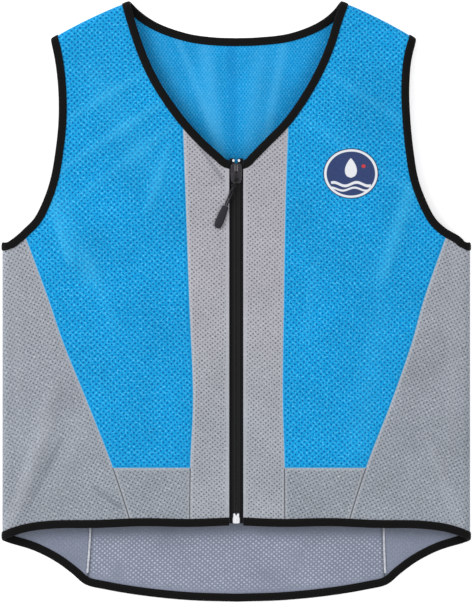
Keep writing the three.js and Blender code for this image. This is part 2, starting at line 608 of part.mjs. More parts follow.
// Grey strip beside the zip, from the neckline to the hem.
function centrePanel(side) {
  const e = edges[side];
  const shift = { x: (-side * SEAM_GAP) / 2 };
  const top = moved(reversed(e.neckCentre), COLUMNS.centre, shift);
  const bottom = moved(e.hemCentre, COLUMNS.centre, shift);
  const seam = shifted(joined(...e.centreSeam), shift.x);
  return wall([patch(top, bottom, lineCells(top[0], bottom[0], seam.length - 1), seam)]);
}

// Grey insert under the blue front panel.
function insertPanel(side) {
  const e = edges[side];
  const gap = (side * SEAM_GAP) / 2;
  const inner = moved(shifted(e.centreSeam[1], gap), 0, { y: -SEAM_GAP / 2 });
  const outer = moved(shifted(e.sideSeam[1], -gap), 0, { y: -SEAM_GAP / 2 });
  const hem = moved(moved(e.hemInsert, 0, { x: gap }), COLUMNS.insert, { x: -gap });
  return wall([patch(lineCells(inner[0], outer[0], COLUMNS.insert), hem, inner, outer)]);
}

// Side panel: one piece from the side seam in front, round the side fold, to the seam in the back.
function sidePanel(side) {
  const e = edges[side];
  const gap = (side * SEAM_GAP) / 2;
  const layers = [
    { seam: e.sideSeam, arm: e.armSide, armFold: e.armFold, hem: e.hemSide, hemFold: e.hemFold },
    {
      seam: e.backSeam,
      arm: e.backArmSide,
      armFold: e.backArmFold,
      hem: reversed(e.backHemSide),
      hemFold: reversed(e.backHemFold),
    },
  ];
  return wall(
    layers.flatMap(({ seam, arm, armFold, hem, hemFold }) => {
      const seamEdge = shifted(joined(...seam), gap);
      const count = seamEdge.length - 1;
      const flat = lineCells(arm.at(-1), hem.at(-1), count);
      const middle = lineCells(armFold.at(-1), hemFold.at(-1), count);
      return [
        patch(moved(arm, 0, { x: gap }), moved(hem, 0, { x: gap }), seamEdge, flat),
        patch(armFold, hemFold, flat, middle),
      ];
    }),
  );
}

// Blue back panel: two yokes that hang from the shoulder folds, and the back below them.
function backPanel() {
  const yoke = (side) => {
    const c = curves[side];
    const e = edges[side];
    const inner = [seamStart(c.backNeck, BACK), ...joined(e.backNeckTurn.slice(1), e.backNeck)];
    const arm = e.backArm.slice(0, YOKE_ARM_CELLS + 1);
    const outer = [seamStart(c.backArm, BACK), ...joined(e.backArmTurn.slice(1), arm)];
    const top = shoulderRow(side, inner[0], outer[0], YOKE_COLUMNS);
    const bottom = line(inner.at(-1), outer.at(-1), YOKE_COLUMNS);
    return { bottom, grid: patch(top, bottom, inner, outer) };
  };
  const rim = (side) => {
    const { backArm, backSeam } = edges[side];
    const seam = moved(shifted(backSeam[0], (-side * SEAM_GAP) / 2), ROWS.backSide, { y: SEAM_GAP / 2 });
    return [...backArm.slice(YOKE_ARM_CELLS, -1), ...seam];
  };
  const [left, right] = [LEFT, RIGHT].map(yoke);
  const [leftRim, rightRim] = [LEFT, RIGHT].map(rim);
  const middle = { x: 0, y: INSERT_Y + SEAM_GAP / 2, layer: BACK };
  const bottom = [
    ...reversed(line(middle, leftRim.at(-1), YOKE_COLUMNS)),
    ...line(middle, rightRim.at(-1), YOKE_COLUMNS).slice(1),
  ];
  const top = [...reversed(left.bottom), ...right.bottom.slice(1)];
  return wall([left.grid, right.grid, patch(top, bottom, leftRim, rightRim)]);
}

// Grey tail below the back panel.
function tailPanel() {
  const rim = (side) =>
    moved(shifted(edges[side].backSeam[1], (-side * SEAM_GAP) / 2), 0, { y: -SEAM_GAP / 2 });
  const half = (side) => moved(edges[side].backHemTail, 0, { x: (-side * SEAM_GAP) / 2 });
  const [left, right] = [LEFT, RIGHT].map(rim);
  const hem = [...half(LEFT), ...reversed(half(RIGHT)).slice(1)];
  return wall([patch(lineCells(left[0], right[0], 2 * COLUMNS.tailHalf), hem, left, right)]);
}

// Closed solid from rings of points, each the same outline in space. Open runs get flat end caps.
function loft(rings, outline, closed = false) {
  const n = outline.length;
  const points = rings.flat();
  const triangles = [];
  for (let i = 0; i < (closed ? rings.length : rings.length - 1); i++) {
    const next = (i + 1) % rings.length;
    for (let k = 0; k < n; k++) {
      const l = (k + 1) % n;
      const [a, b, c, d] = [i * n + k, i * n + l, next * n + l, next * n + k];
      const shorter = points[a].distanceTo(points[c]) < points[b].distanceTo(points[d]);
      triangles.push(...(shorter ? [[a, b, c], [a, c, d]] : [[a, b, d], [b, c, d]]));
    }
  }
  if (!closed) {
    const last = (rings.length - 1) * n;
    const clockwise = THREE.ShapeUtils.isClockWise(outline);
    for (const [a, b, c] of THREE.ShapeUtils.triangulateShape(outline, [])) {
      const cap = clockwise ? [a, b, c] : [a, c, b];
      triangles.push(cap, [...cap].reverse().map((k) => last + k));
    }
  }
  const volume = triangles.reduce(
    (sum, [a, b, c]) => sum + points[a].dot(new THREE.Vector3().crossVectors(points[b], points[c])),
    0,
  );
  return solid(points, volume < 0 ? triangles.map(([a, b, c]) => [a, c, b]) : triangles);
}

// Section of the folded tape: [past the cloth's edge, off the middle of the cloth].
const TAPE_OUT = BINDING_GAP + BINDING_TAPE;
const TAPE_IN = TAPE_OUT - BINDING_WIDTH;
const TAPE_MIDDLE = TAPE_IN / 2;
const SLOT = CLOTH / 2 + BINDING_GAP;
const CHANNEL = [
  [TAPE_OUT, BINDING_HALF],
  [TAPE_MIDDLE, BINDING_HALF],
  [TAPE_IN, BINDING_HALF],
  [TAPE_IN, SLOT],
  [TAPE_MIDDLE, SLOT],
  [BINDING_GAP, SLOT],
  [BINDING_GAP, -SLOT],
  [TAPE_MIDDLE, -SLOT],
  [TAPE_IN, -SLOT],
  [TAPE_IN, -BINDING_HALF],
  [TAPE_MIDDLE, -BINDING_HALF],
  [TAPE_OUT, -BINDING_HALF],
].map(([past, off]) => new THREE.Vector2(past, off));

// Binding along a run of edge places. "hand" says on which side of the run the cloth ends. The tape reaches
// straight in from the edge, and in an edge fold along the fold.
function binding(places, hand, closed = false) {
  const spots = places.map(onCloth);
  const step = 0.05;
  const slope = (place, dx, dy) => {
    const ahead = onCloth({ ...place, x: place.x + dx, y: place.y + dy }).point;
    return ahead.sub(onCloth({ ...place, x: place.x - dx, y: place.y - dy }).point);
  };
  const rings = places.map((place, i) => {
    const before = spots[closed ? (i + spots.length - 1) % spots.length : Math.max(i - 1, 0)].point;
    const after = spots[closed ? (i + 1) % spots.length : Math.min(i + 1, spots.length - 1)].point;
    const past = new THREE.Vector3().crossVectors(after.clone().sub(before), spots[i].normal);
    const way = new THREE.Vector2(past.dot(slope(place, step, 0)), past.dot(slope(place, 0, step)));
    way.normalize().multiplyScalar(hand);
    const { outwards, past: intoFold } = foldAt(place);
    const alongFold = new THREE.Vector2(-outwards.y, outwards.x);
    if (intoFold > 0) way.copy(alongFold.multiplyScalar(Math.sign(alongFold.dot(way))));
    return CHANNEL.map((corner) => {
      const beside = { ...place, x: place.x + way.x * corner.x, y: place.y + way.y * corner.x };
      const { point, normal } = onCloth(beside);
      return point.addScaledVector(normal, corner.y);
    });
  });
  return loft(rings, CHANNEL, closed);
}

function neckBinding() {
  const half = (side) => {
    const e = edges[side];
    return joined(
      reversed(joined(e.neckTurn, e.neckBlue, e.neckCentre)),
      joined(e.backNeckTurn, e.backNeck),
    );
  };
  return binding(joined(half(LEFT), reversed(half(RIGHT))), 1);
}
function armholeBinding(side) {
  const e = edges[side];
  const ends = (list) => [list[0], list[Math.round(list.length / 2)], list.at(-1)];
  const front = joined(e.armTurn, e.armBlue, ends(e.armSide), e.armFold);
  const back = joined(e.backArmTurn, e.backArm, ends(e.backArmSide), e.backArmFold);
  return binding([...front, ...reversed(back).slice(1, -1)], -side, true);
}
function hemBinding() {
  const half = (side) => {
    const e = edges[side];
    const front = joined(e.hemCentre, e.hemInsert, e.hemSide, e.hemFold);
    return joined(front, e.backHemFold, e.backHemSide, e.backHemTail);
  };
  return binding(joined(half(LEFT), reversed(half(RIGHT))), -1);
}

// Seam edge that shows inside the back, along the seam of a side panel.
function seamEdge(side) {
  const rows = joined(...edges[side].backSeam).slice(1, -1);
  const low = -CLOTH / 2 - CLEARANCE;
  const grid = rows.map((place) => [
    { ...place, x: place.x - SEAM_EDGE_WIDTH / 2 },
    { ...place, x: place.x + SEAM_EDGE_WIDTH / 2 },
  ]);
  return wall([grid], low, low - SEAM_EDGE_HEIGHT);
}

// Zip. Heights are measured from the middle of the front cloth on the centre line.
const NECK_END_Y = curves[LEFT].neck.getPointAt(1).y;
const ZIP_TOP_Y = NECK_END_Y + ZIP_ABOVE_EDGE;
const TUCK_TOP_Y = NECK_END_Y - BINDING_WIDTH - ZIP_TUCK;
const BOX_BOTTOM_Y = FRONT_HEM_Y + BOX_ABOVE_HEM;
const BOX_TOP_Y = BOX_BOTTOM_Y + BOX_LENGTH;
const TUCK_BOTTOM_Y = BOX_TOP_Y + CLEARANCE + ZIP_TUCK / 2;
const SLIDER_Y = ZIP_TOP_Y - SLIDER_TOP;
const POST_LENGTH = SLIDER_LENGTH * POST_SHARE;
const POST_END_Y = SLIDER_Y - POST_LENGTH;
const TAPE_TOP = -CLOTH / 2 - CLEARANCE;
const TAPE_BOTTOM = TAPE_TOP - TAPE;
const COIL_TOP = TAPE_BOTTOM - CLEARANCE;
const COIL_BOTTOM = COIL_TOP - COIL_HEIGHT;

// A flat strip under the front cloth, between two distances from the centre line. A level is [y, inner, outer].
const zipStrip = (side, levels, high, low) =>
  wall(
    [levels.map(([y, ...reach]) => reach.map((x) => ({ x: side * x, y, layer: FRONT })))],
    high,
    low,
  );
function zipTape(side) {
  const beside = SLIDER_POST / 2 + CLEARANCE;
  const closed = CLEARANCE / 2;
  const free = ZIP_HALF_WIDTH - CLEARANCE;
  const tucked = ZIP_HALF_WIDTH + ZIP_UNDERLAP;
  const pastBox = BOX_WIDTH / 2 + CLEARANCE;
  const long = shares(TAPE_CELLS).map((share) => lerp(TUCK_TOP_Y - 1, TUCK_BOTTOM_Y + 1, share));
  const levels = [
    [ZIP_TOP_Y, beside, free - 1],
    [POST_END_Y - POST_MARGIN, beside, free - 1],
    [POST_END_Y - 2 * POST_MARGIN, closed, free - 1],
    [TUCK_TOP_Y, closed, free - 1],
    ...long.map((y) => [y, closed, tucked]),
    [TUCK_BOTTOM_Y, closed, free],
    [BOX_TOP_Y + CLEARANCE + 0.5, closed, free],
    [BOX_TOP_Y + CLEARANCE, pastBox, free],
    [BOX_BOTTOM_Y, pastBox, free],
  ];
  return zipStrip(side, levels, TAPE_TOP, TAPE_BOTTOM);
}
function zipCoil(side) {
  const levels = shares(COIL_CELLS).map((share) => [
    lerp(POST_END_Y - 2 * POST_MARGIN, BOX_TOP_Y + CLEARANCE, share),
    CLEARANCE / 2,
    CLEARANCE / 2 + COIL_WIDTH,
  ]);
  return zipStrip(side, levels, COIL_TOP, COIL_BOTTOM);
}

const zipLevel = (y) => onCloth({ x: 0, y, layer: FRONT }).point.z;
const SLIDER_LEVEL = zipLevel(SLIDER_Y);

// An outline in plan carried straight up between two heights.
function block(outline, low, high, holes = []) {
  const shape = new THREE.Shape(outline.map(([x, y]) => new THREE.Vector2(x, y)));
  shape.holes = holes;
  const settings = { depth: high - low, bevelEnabled: false, curveSegments: 5 };
  return new THREE.ExtrudeGeometry(shape, settings).translate(0, 0, low);
}
const mirrored = (half) => [...half, ...reversed(half).map(([x, y]) => [-x, y])];
const circle = (x, y, radius) => new THREE.Path().absarc(x, y, radius, 0, 2 * Math.PI, true);

// Joins solids that reach into each other.
const wasm = await Module();
wasm.setup();
function join(...parts) {
  const bodies = parts.map((part) => {
    const bare = part.clone();
    bare.deleteAttribute("normal");
    bare.deleteAttribute("uv");
    const merged = mergeVertices(bare, 1e-4);
    const vertProperties = Float32Array.from(merged.attributes.position.array);
    const triVerts = Uint32Array.from(merged.index.array);
    return new wasm.Manifold(new wasm.Mesh({ numProp: 3, vertProperties, triVerts }));
  });
  const mesh = bodies.reduce((body, other) => body.add(other)).getMesh();
  const geometry = new THREE.BufferGeometry();
  geometry.setAttribute("position", new THREE.BufferAttribute(mesh.vertProperties, mesh.numProp));
  geometry.setIndex(new THREE.BufferAttribute(mesh.triVerts, 1));
  return geometry;
}

// Slider: two plates joined by a post at the top, and a bail across the upper plate.
const SLIDER_OUTLINE = [
  { out: 0.72, down: 0 },
  { out: 1, down: 0.14 },
  { out: 0.98, down: 0.6 },
  { out: 0.88, down: 0.9 },
  { out: 0.66, down: 1 },
];
const UPPER_PLATE_LOW = TAPE_TOP + CLEARANCE;
const UPPER_PLATE_HIGH = UPPER_PLATE_LOW + SLIDER_PLATE;
const LOWER_PLATE_HIGH = COIL_BOTTOM - CLEARANCE;
const BAIL_DOWN = SLIDER_LENGTH * BAIL_START;
function zipSlider() {
  const sink = SLIDER_PLATE / 3; // how far joined pieces reach into each other
  const outline = mirrored(
    SLIDER_OUTLINE.map(({ out, down }) => [(SLIDER_WIDTH / 2) * out, -SLIDER_LENGTH * down]),
  );
  const post = mirrored([
    [SLIDER_POST / 2, 0],
    [SLIDER_POST / 2, -POST_LENGTH * 0.6],
    [SLIDER_POST / 8, -POST_LENGTH],
  ]);
  const bail = [
    [0, -sink],
    [0, BAIL_HEIGHT - 1],
    [1, BAIL_HEIGHT],
    [BAIL_LENGTH - 1, BAIL_HEIGHT],
    [BAIL_LENGTH, BAIL_HEIGHT - 1],
    [BAIL_LENGTH, -sink],
    [BAIL_LENGTH - BAIL_WIRE, -sink],
    [BAIL_LENGTH - BAIL_WIRE, BAIL_HEIGHT - BAIL_WIRE],
    [BAIL_WIRE, BAIL_HEIGHT - BAIL_WIRE],
    [BAIL_WIRE, -sink],
  ];
  const down = new THREE.Matrix4().makeBasis(
    new THREE.Vector3(0, -1, 0),
    new THREE.Vector3(0, 0, 1),
    new THREE.Vector3(-1, 0, 0),
  );
  return join(
    block(outline, UPPER_PLATE_LOW, UPPER_PLATE_HIGH),
    block(post, LOWER_PLATE_HIGH - sink, UPPER_PLATE_LOW + sink),
    block(outline, LOWER_PLATE_HIGH - SLIDER_PLATE, LOWER_PLATE_HIGH),
    block(bail, -BAIL_WIRE / 2, BAIL_WIRE / 2).applyMatrix4(down).translate(0, -BAIL_DOWN, UPPER_PLATE_HIGH),
  ).translate(0, SLIDER_Y, SLIDER_LEVEL);
}

// Pull: a tab on the bail, a loop of cord through its lower eye and a moulded grip, lying down to the left.
// Distances run from the tab's upper eye along the pull.
const PULL_START = new THREE.Vector3(0, SLIDER_Y - BAIL_DOWN - BAIL_LENGTH + BAIL_WIRE / 2, SLIDER_LEVEL);
const pullTurn = THREE.MathUtils.degToRad(-PULL_ANGLE);
const alongPull = (distance, aside, height) =>
  new THREE.Vector3(aside, -distance, height).applyAxisAngle(UP, pullTurn).add(PULL_START);
const EYE_SPACING = TAB_LENGTH - TAB_WIDTH;
const TAB_LOW = UPPER_PLATE_HIGH + CLEARANCE;
const TAB_HIGH = TAB_LOW + TAB_THICKNESS;
const GRIP_LEVEL = CLOTH / 2 + CLEARANCE + 0.1 + GRIP_THICKNESS / 2;
function pullTab() {
  const radius = TAB_WIDTH / 2;
  const arc = (from, y) =>
    shares(5).map((share) => {
      const angle = from + Math.PI * share;
      return [radius * Math.cos(angle), y + radius * Math.sin(angle)];
    });
  const outline = [...arc(0, 0), ...arc(Math.PI, -EYE_SPACING)];
  const eyes = [circle(0, 0, TAB_EYE), circle(0, -EYE_SPACING, TAB_EYE)];
  return block(outline, TAB_LOW, TAB_HIGH, eyes).rotateZ(pullTurn).translate(...PULL_START.toArray());
}
// Route of the cord loop: "run" from the lower eye towards the grip and "aside" in millimetres. It passes
// over the end of the tab, down through the eye and back under the tab.
function pullCord() {
  const reach = CORD_RADIUS + CLEARANCE;
  const over = TAB_HIGH + reach;
  const under = TAB_LOW - reach;
  const bar = TAB_WIDTH / 2; // from the eye's middle to the end of the tab
  const apart = reach * 0.96;
  const route = [
    { run: CORD_LENGTH, aside: -apart, height: GRIP_LEVEL },
    { run: CORD_LENGTH * 0.6, aside: -apart, height: GRIP_LEVEL },
    { run: bar + 3, aside: -apart * 0.9, height: over - 0.1 },
    { run: bar, aside: -0.5, height: over + 0.05 },
    { run: bar * 0.45, aside: -0.2, height: over + 0.05 },
    { run: 0.1, aside: 0, height: TAB_HIGH + 0.45 },
    { run: 0, aside: 0, height: TAB_LOW - 0.45 },
    { run: bar * 0.45, aside: 0.2, height: under - 0.02 },
    { run: bar, aside: 0.5, height: under },
    { run: bar + 2.4, aside: apart * 0.9, height: under + 0.6 },
    { run: bar + 7.5, aside: apart, height: GRIP_LEVEL - 0.3 },
    { run: CORD_LENGTH * 0.6, aside: apart, height: GRIP_LEVEL },
    { run: CORD_LENGTH, aside: apart, height: GRIP_LEVEL },
  ];
  const points = route.map(({ run, aside, height }) => alongPull(EYE_SPACING + run, aside, height));
  const section = new THREE.Shape().absarc(0, 0, CORD_RADIUS, 0, 2 * Math.PI);
  const path = new THREE.CatmullRomCurve3(points, false, "centripetal");
  const round = new THREE.Shape(section.getSpacedPoints(CORD_SIDES).slice(0, -1));
  return new THREE.ExtrudeGeometry(round, { steps: CORD_CELLS, extrudePath: path, curveSegments: 1 });
}
// Sections of the grip from the cord to its free end, as shares of its length and of its full size.
const GRIP_SECTIONS = [
  { along: 0, size: 0.6 },
  { along: 0.06, size: 0.78 },
  { along: 0.3, size: 0.92 },
  { along: 0.72, size: 1 },
  { along: 0.88, size: 0.88 },
  { along: 0.97, size: 0.62 },
  { along: 1, size: 0.34 },
];
function pullGrip() {
  const outline = shares(12)
    .slice(1)
    .map((share) => {
      const angle = 2 * Math.PI * share;
      return new THREE.Vector2((GRIP_WIDTH / 2) * Math.cos(angle), (GRIP_THICKNESS / 2) * Math.sin(angle));
    });
  const start = EYE_SPACING + CORD_LENGTH + CLEARANCE;
  const rings = GRIP_SECTIONS.map(({ along, size }) =>
    outline.map(({ x, y }) => alongPull(start + GRIP_LENGTH * along, x * size, GRIP_LEVEL + y * size)),
  );
  return loft(rings, outline);
}

// Stops at the top of the tapes and the box at the bottom.
function topStop(side) {
  const inner = SLIDER_POST / 2 + CLEARANCE;
  const outline = [
    [inner, -STOP_LENGTH],
    [inner + STOP_WIDTH, -STOP_LENGTH],
    [inner + STOP_WIDTH, 0],
    [inner, 0],
  ];
  const low = TAPE_TOP + CLEARANCE;
  const stop = block(outline, low, low + STOP_HEIGHT);
  const shift = side === LEFT ? -2 * inner - STOP_WIDTH : 0;
  return stop.translate(shift, ZIP_TOP_Y - STOP_DOWN, SLIDER_LEVEL);
}
function zipBox() {
  const outline = mirrored([
    [BOX_WIDTH * 0.36, 0],
    [BOX_WIDTH / 2, -BOX_LENGTH * 0.2],
    [BOX_WIDTH / 2, -BOX_LENGTH * 0.9],
    [BOX_WIDTH * 0.42, -BOX_LENGTH],
  ]);
  const high = TAPE_TOP + BOX_HEIGHT / 2;
  return block(outline, high - BOX_HEIGHT, high).translate(0, BOX_TOP_Y, zipLevel(BOX_TOP_Y));
}

// Oval badge on the blue panel.
function chestBadge() {
  const arc = (from, to) =>
    shares(5).map((share) => {
      const angle = THREE.MathUtils.degToRad(lerp(from, to, share));
      const x = BADGE_OUT + (BADGE_WIDTH / 2) * Math.cos(angle);
      const y = TOP_Y - BADGE_DOWN + (BADGE_HEIGHT / 2) * Math.sin(angle);
      return { x, y, layer: FRONT };
    });
  const low = CLOTH / 2 + CLEARANCE;
  return wall([patch(arc(135, 45), arc(225, 315), arc(135, 225), arc(45, -45))], low + BADGE_THICKNESS, low);
}

for (const side of [LEFT, RIGHT]) {
  const name = sideName(side);
  add(`front_panel_${name}`, bluePanel(side), BLUE_MESH);
  add(`centre_strip_${name}`, centrePanel(side), GREY_MESH);
  add(`hem_insert_${name}`, insertPanel(side), GREY_MESH);
  add(`side_panel_${name}`, sidePanel(side), GREY_MESH);
  add(`armhole_binding_${name}`, armholeBinding(side), BLACK_BINDING);
  add(`seam_edge_${name}`, seamEdge(side), GREY_MESH);
  add(`zip_tape_${name}`, zipTape(side), ZIP_TAPE);
  add(`zip_coil_${name}`, zipCoil(side), ZIP_COIL);
  add(`zip_top_stop_${name}`, topStop(side), BRIGHT_METAL);
}
add("back_panel", backPanel(), BLUE_MESH);
add("tail_panel", tailPanel(), GREY_MESH);
add("neck_binding", neckBinding(), BLACK_BINDING);
add("hem_binding", hemBinding(), BLACK_BINDING);
add("zip_slider", zipSlider(), BLACK_METAL);
add("pull_tab", pullTab(), BLACK_METAL);
add("pull_cord", pullCord(), PULL_CORD);
add("pull_grip", pullGrip(), SOFT_GRIP);
add("zip_box", zipBox(), BRIGHT_METAL);
add("chest_badge", chestBadge(), BADGE_PRINT);

export { group as default };
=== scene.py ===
# %% [markdown]
# # A zip-front cooling vest, laid flat
#
# The vest is sewn from two kinds of padded mesh: a blue one for the chest and back, and a finer
# grey one for the sides, the strips beside the zip and the tail. Every cut edge is wrapped in black
# stretch tape. It lies on its back on a white table, photographed from straight above.
#
# The solids of the vest already exist at their real size. They load first, as a frame that nothing
# here moves. Each cloth piece is then made again as a fine mesh in the same place, because a
# finished cloth needs far more faces than a solid that only has to collide and weigh something.

import bpy
import numpy as np
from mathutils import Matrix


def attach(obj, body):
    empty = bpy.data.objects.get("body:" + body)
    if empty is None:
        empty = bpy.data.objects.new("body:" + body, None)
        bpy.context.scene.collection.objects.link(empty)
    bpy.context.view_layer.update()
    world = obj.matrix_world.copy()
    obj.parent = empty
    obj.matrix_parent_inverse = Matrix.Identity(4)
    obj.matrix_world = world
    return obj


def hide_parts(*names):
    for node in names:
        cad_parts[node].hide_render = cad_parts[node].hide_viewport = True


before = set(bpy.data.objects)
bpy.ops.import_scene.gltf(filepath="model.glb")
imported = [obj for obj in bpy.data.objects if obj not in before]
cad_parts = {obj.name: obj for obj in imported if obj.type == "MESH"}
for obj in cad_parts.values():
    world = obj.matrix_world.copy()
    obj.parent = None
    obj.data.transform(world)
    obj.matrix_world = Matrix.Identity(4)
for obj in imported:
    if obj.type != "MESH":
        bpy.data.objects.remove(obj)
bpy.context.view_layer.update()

# %% [markdown]
# ## Sizes
#
# All lengths below are in millimetres, and only the last step of a mesh turns them into Blender's
# metres. The sizes are the ones that the solids were drawn from. "Left" and "right" are as seen
# from in front, so the wearer's left breast is on the right.

# %% Sizes of the vest
MM = 0.001
HALF_WIDTH = 280
NECK_TO_TAIL = 717
NECK_TO_HEM = 625
NECK_TO_SIDE_HEM = 643
NECK_HALF_WIDTH = 128
FRONT_NECK_DEPTH = 199
BACK_NECK_DEPTH = 43
SHOULDER_DROP = 44
SHOULDER_BULGE = 2.4
ARMHOLE_DEPTH = 244
BACK_ARMHOLE_INSET = 6
NECK_TO_INSERT = 557
SIDE_SEAM_TOP = 0.94
CENTRE_SEAM_TOP = (0.228, 0.223)

CLOTH = 2
FOLD_RADIUS = 7
SEAM_GAP = 0.3
CROWN = 12
CROWN_AT_ZIP = 0.55
CROWN_AT_HEM = 0.3
CROWN_RISE = 130
FOLD_FADE = 35
FOLD_END = 1 / 3
BINDING_WIDTH = 9.8
BINDING_TAPE = 0.7
BINDING_GAP = 0.4
EDGE_SETTLE = 36
ZIP_HALF_WIDTH = 8.5
CLEARANCE = 0.3

LEFT, RIGHT = -1, 1
SIDES = {LEFT: "left", RIGHT: "right"}
FRONT, BACK = 1, -1
TURN = 2 * np.pi
TOP_Y = NECK_TO_TAIL / 2
TIP_Y = TOP_Y - SHOULDER_DROP
FRONT_HEM_Y = TOP_Y - NECK_TO_HEM
SIDE_HEM_Y = TOP_Y - NECK_TO_SIDE_HEM
INSERT_Y = TOP_Y - NECK_TO_INSERT
FOLD_X = HALF_WIDTH - CLOTH / 2
QUARTER_TURN = FOLD_RADIUS * np.pi / 2
FLAT_X = FOLD_X - FOLD_RADIUS
MIDDLE_X = FLAT_X + QUARTER_TURN
TAKE_UP = QUARTER_TURN - FOLD_RADIUS
BINDING_HALF = CLOTH / 2 + BINDING_GAP + BINDING_TAPE
print("vest:", 2 * HALF_WIDTH, "mm across,", NECK_TO_TAIL, "mm long")

# %% [markdown]
# ## The pattern's edges
#
# A garment starts from the edges of its pattern pieces. Each table gives one edge as shares of the
# sizes above: how far down, then how far out on the left and on the right side of this very vest.
# Nobody lays a vest down perfectly even, and the small differences are what make it look real.

# %% Edge tables: down, left, right
FRONT_NECKLINE = [
    (0, 1, 0.98), (0.12, 0.95, 0.917), (0.23, 0.895, 0.866), (0.35, 0.823, 0.793),
    (0.47, 0.731, 0.7), (0.59, 0.613, 0.588), (0.71, 0.473, 0.452), (0.83, 0.303, 0.27),
    (0.89, 0.201, 0.178), (0.925, 0.14, 0.124), (0.948, 0.1, 0.093), (0.956, 0.066, 0.066),
]
BACK_NECKLINE = [
    (0, 1, 0.98), (0.23, 0.915, 0.915), (0.57, 0.745, 0.765), (0.87, 0.46, 0.5), (0.98, 0.2, 0.2),
]
ARMHOLE = [
    (0, 0.787, 0.764), (0.104, 0.771, 0.745), (0.25, 0.757, 0.736), (0.4, 0.756, 0.741),
    (0.54, 0.768, 0.753), (0.68, 0.789, 0.773), (0.78, 0.817, 0.803), (0.88, 0.86, 0.848),
    (0.93, 0.902, 0.893), (0.97, 0.94, 0.952), (1, 0.98, 0.982),
]
CENTRE_SEAM = [
    (0.38, 0.215, 0.21), (0.57, 0.2, 0.203), (0.76, 0.184, 0.198), (0.89, 0.196, 0.206),
    (1.04, 0.2, 0.207),
]
SIDE_SEAM = [
    (0.57, 0.802, 0.802), (0.65, 0.741, 0.752), (0.765, 0.637, 0.663), (0.89, 0.528, 0.555),
    (1.04, 0.42, 0.45),
]
BACK_SEAM = [
    (0.57, 0.79, 0.79), (0.72, 0.705, 0.705), (0.89, 0.63, 0.63), (1.01, 0.622, 0.628),
    (1.15, 0.645, 0.64),
]

# %% Hem tables: out from the middle, share of the drop from one end of the hem to the other
FRONT_HEM = [(0.03, 0), (0.2, 0.09), (0.4, 0.04), (0.6, 0.16), (0.78, 0.2), (0.9, 0.44)]
BACK_HEM = [
    (0.96, 0.06), (0.88, 0.15), (0.82, 0.25), (0.76, 0.38), (0.7, 0.55), (0.645, 0.72), (0.56, 0.8),
    (0.4, 0.9), (0.2, 0.975),
]

# %% [markdown]
# ## Flattened cloth
#
# Seen from above, the cloth turns out of sight at the shoulders and at the sides, where it runs
# round a fold into the other layer. A pattern piece is flat, so it is longer there than it looks.
# `flatten` takes a point of the picture to its place on the flat cloth: in a fold, a point that
# lies `inside` the outline by less than the fold's radius sits at the angle asin(1 - inside /
# radius), and the arc to it is longer than its shadow.


# %% Shoulder line and flattening
def smooth(t):
    """S-curve from 0 to 1: 3t^2 - 2t^3, with t held between 0 and 1."""
    t = np.clip(t, 0, 1)
    return t * t * (3 - 2 * t)


def by_side(x, pair):
    """The left or the right one of a pair, by the sign of x."""
    return np.where(x < 0, pair[0], pair[1])


neck_x = (-NECK_HALF_WIDTH * FRONT_NECKLINE[0][1], NECK_HALF_WIDTH * FRONT_NECKLINE[0][2])
tip_x = (-HALF_WIDTH * ARMHOLE[0][1], HALF_WIDTH * ARMHOLE[0][2])
slope = tuple(np.arctan2(SHOULDER_DROP, abs(tip - neck)) for tip, neck in zip(tip_x, neck_x))


def shoulder_y(x):
    """Height of the shoulder line in the picture: a straight drop, bowed outwards like a parabola."""
    along = (x - by_side(x, neck_x)) / (by_side(x, tip_x) - by_side(x, neck_x))
    bow = np.clip(along, 0, 1)
    return TOP_Y - SHOULDER_DROP * along + SHOULDER_BULGE * 4 * bow * (1 - bow)


def in_from_shoulder(x, y):
    """Distance in from the shoulder line: the drop below it times the cosine of its slope."""
    return (shoulder_y(x) - y) * np.cos(by_side(x, slope))


def outwards(x, from_side, from_shoulder):
    """Unit way out of the nearest fold: sideways, or (sin slope, cos slope) at the shoulder."""
    sideways = from_side < from_shoulder
    side = np.where(x < 0, -1, 1)
    turn = by_side(x, slope)
    return np.where(sideways, side, side * np.sin(turn)), np.where(sideways, 0, np.cos(turn))


def flatten(points):
    """Places on the flat cloth of points in the picture.

    place = point + way out * radius * (angle - sin angle), angle = asin(1 - inside / radius)
    """
    x, y = np.array(points, float).T
    from_side, from_shoulder = FOLD_X - np.abs(x), in_from_shoulder(x, y)
    out_x, out_y = outwards(x, from_side, from_shoulder)
    angle = np.arcsin(np.clip(1 - np.minimum(from_side, from_shoulder) / FOLD_RADIUS, 0, 1))
    extra = FOLD_RADIUS * (angle - np.sin(angle))
    return np.stack([x + out_x * extra, y + out_y * extra], -1)


# %% [markdown]
# An edge has to be smooth, pass through its few points and be walked by distance, because stitches
# and mesh cells are spaced by distance. A centripetal Catmull-Rom curve does that without loops or
# overshoot: between two points it is a cubic, and the tangent at each point weighs its neighbours
# by the square root of their distance. The same curve draws the pull's cord in space further down.


# %% A curve that is walked by distance
EDGE_STEPS = 48
SEARCH_STEPS = 6001


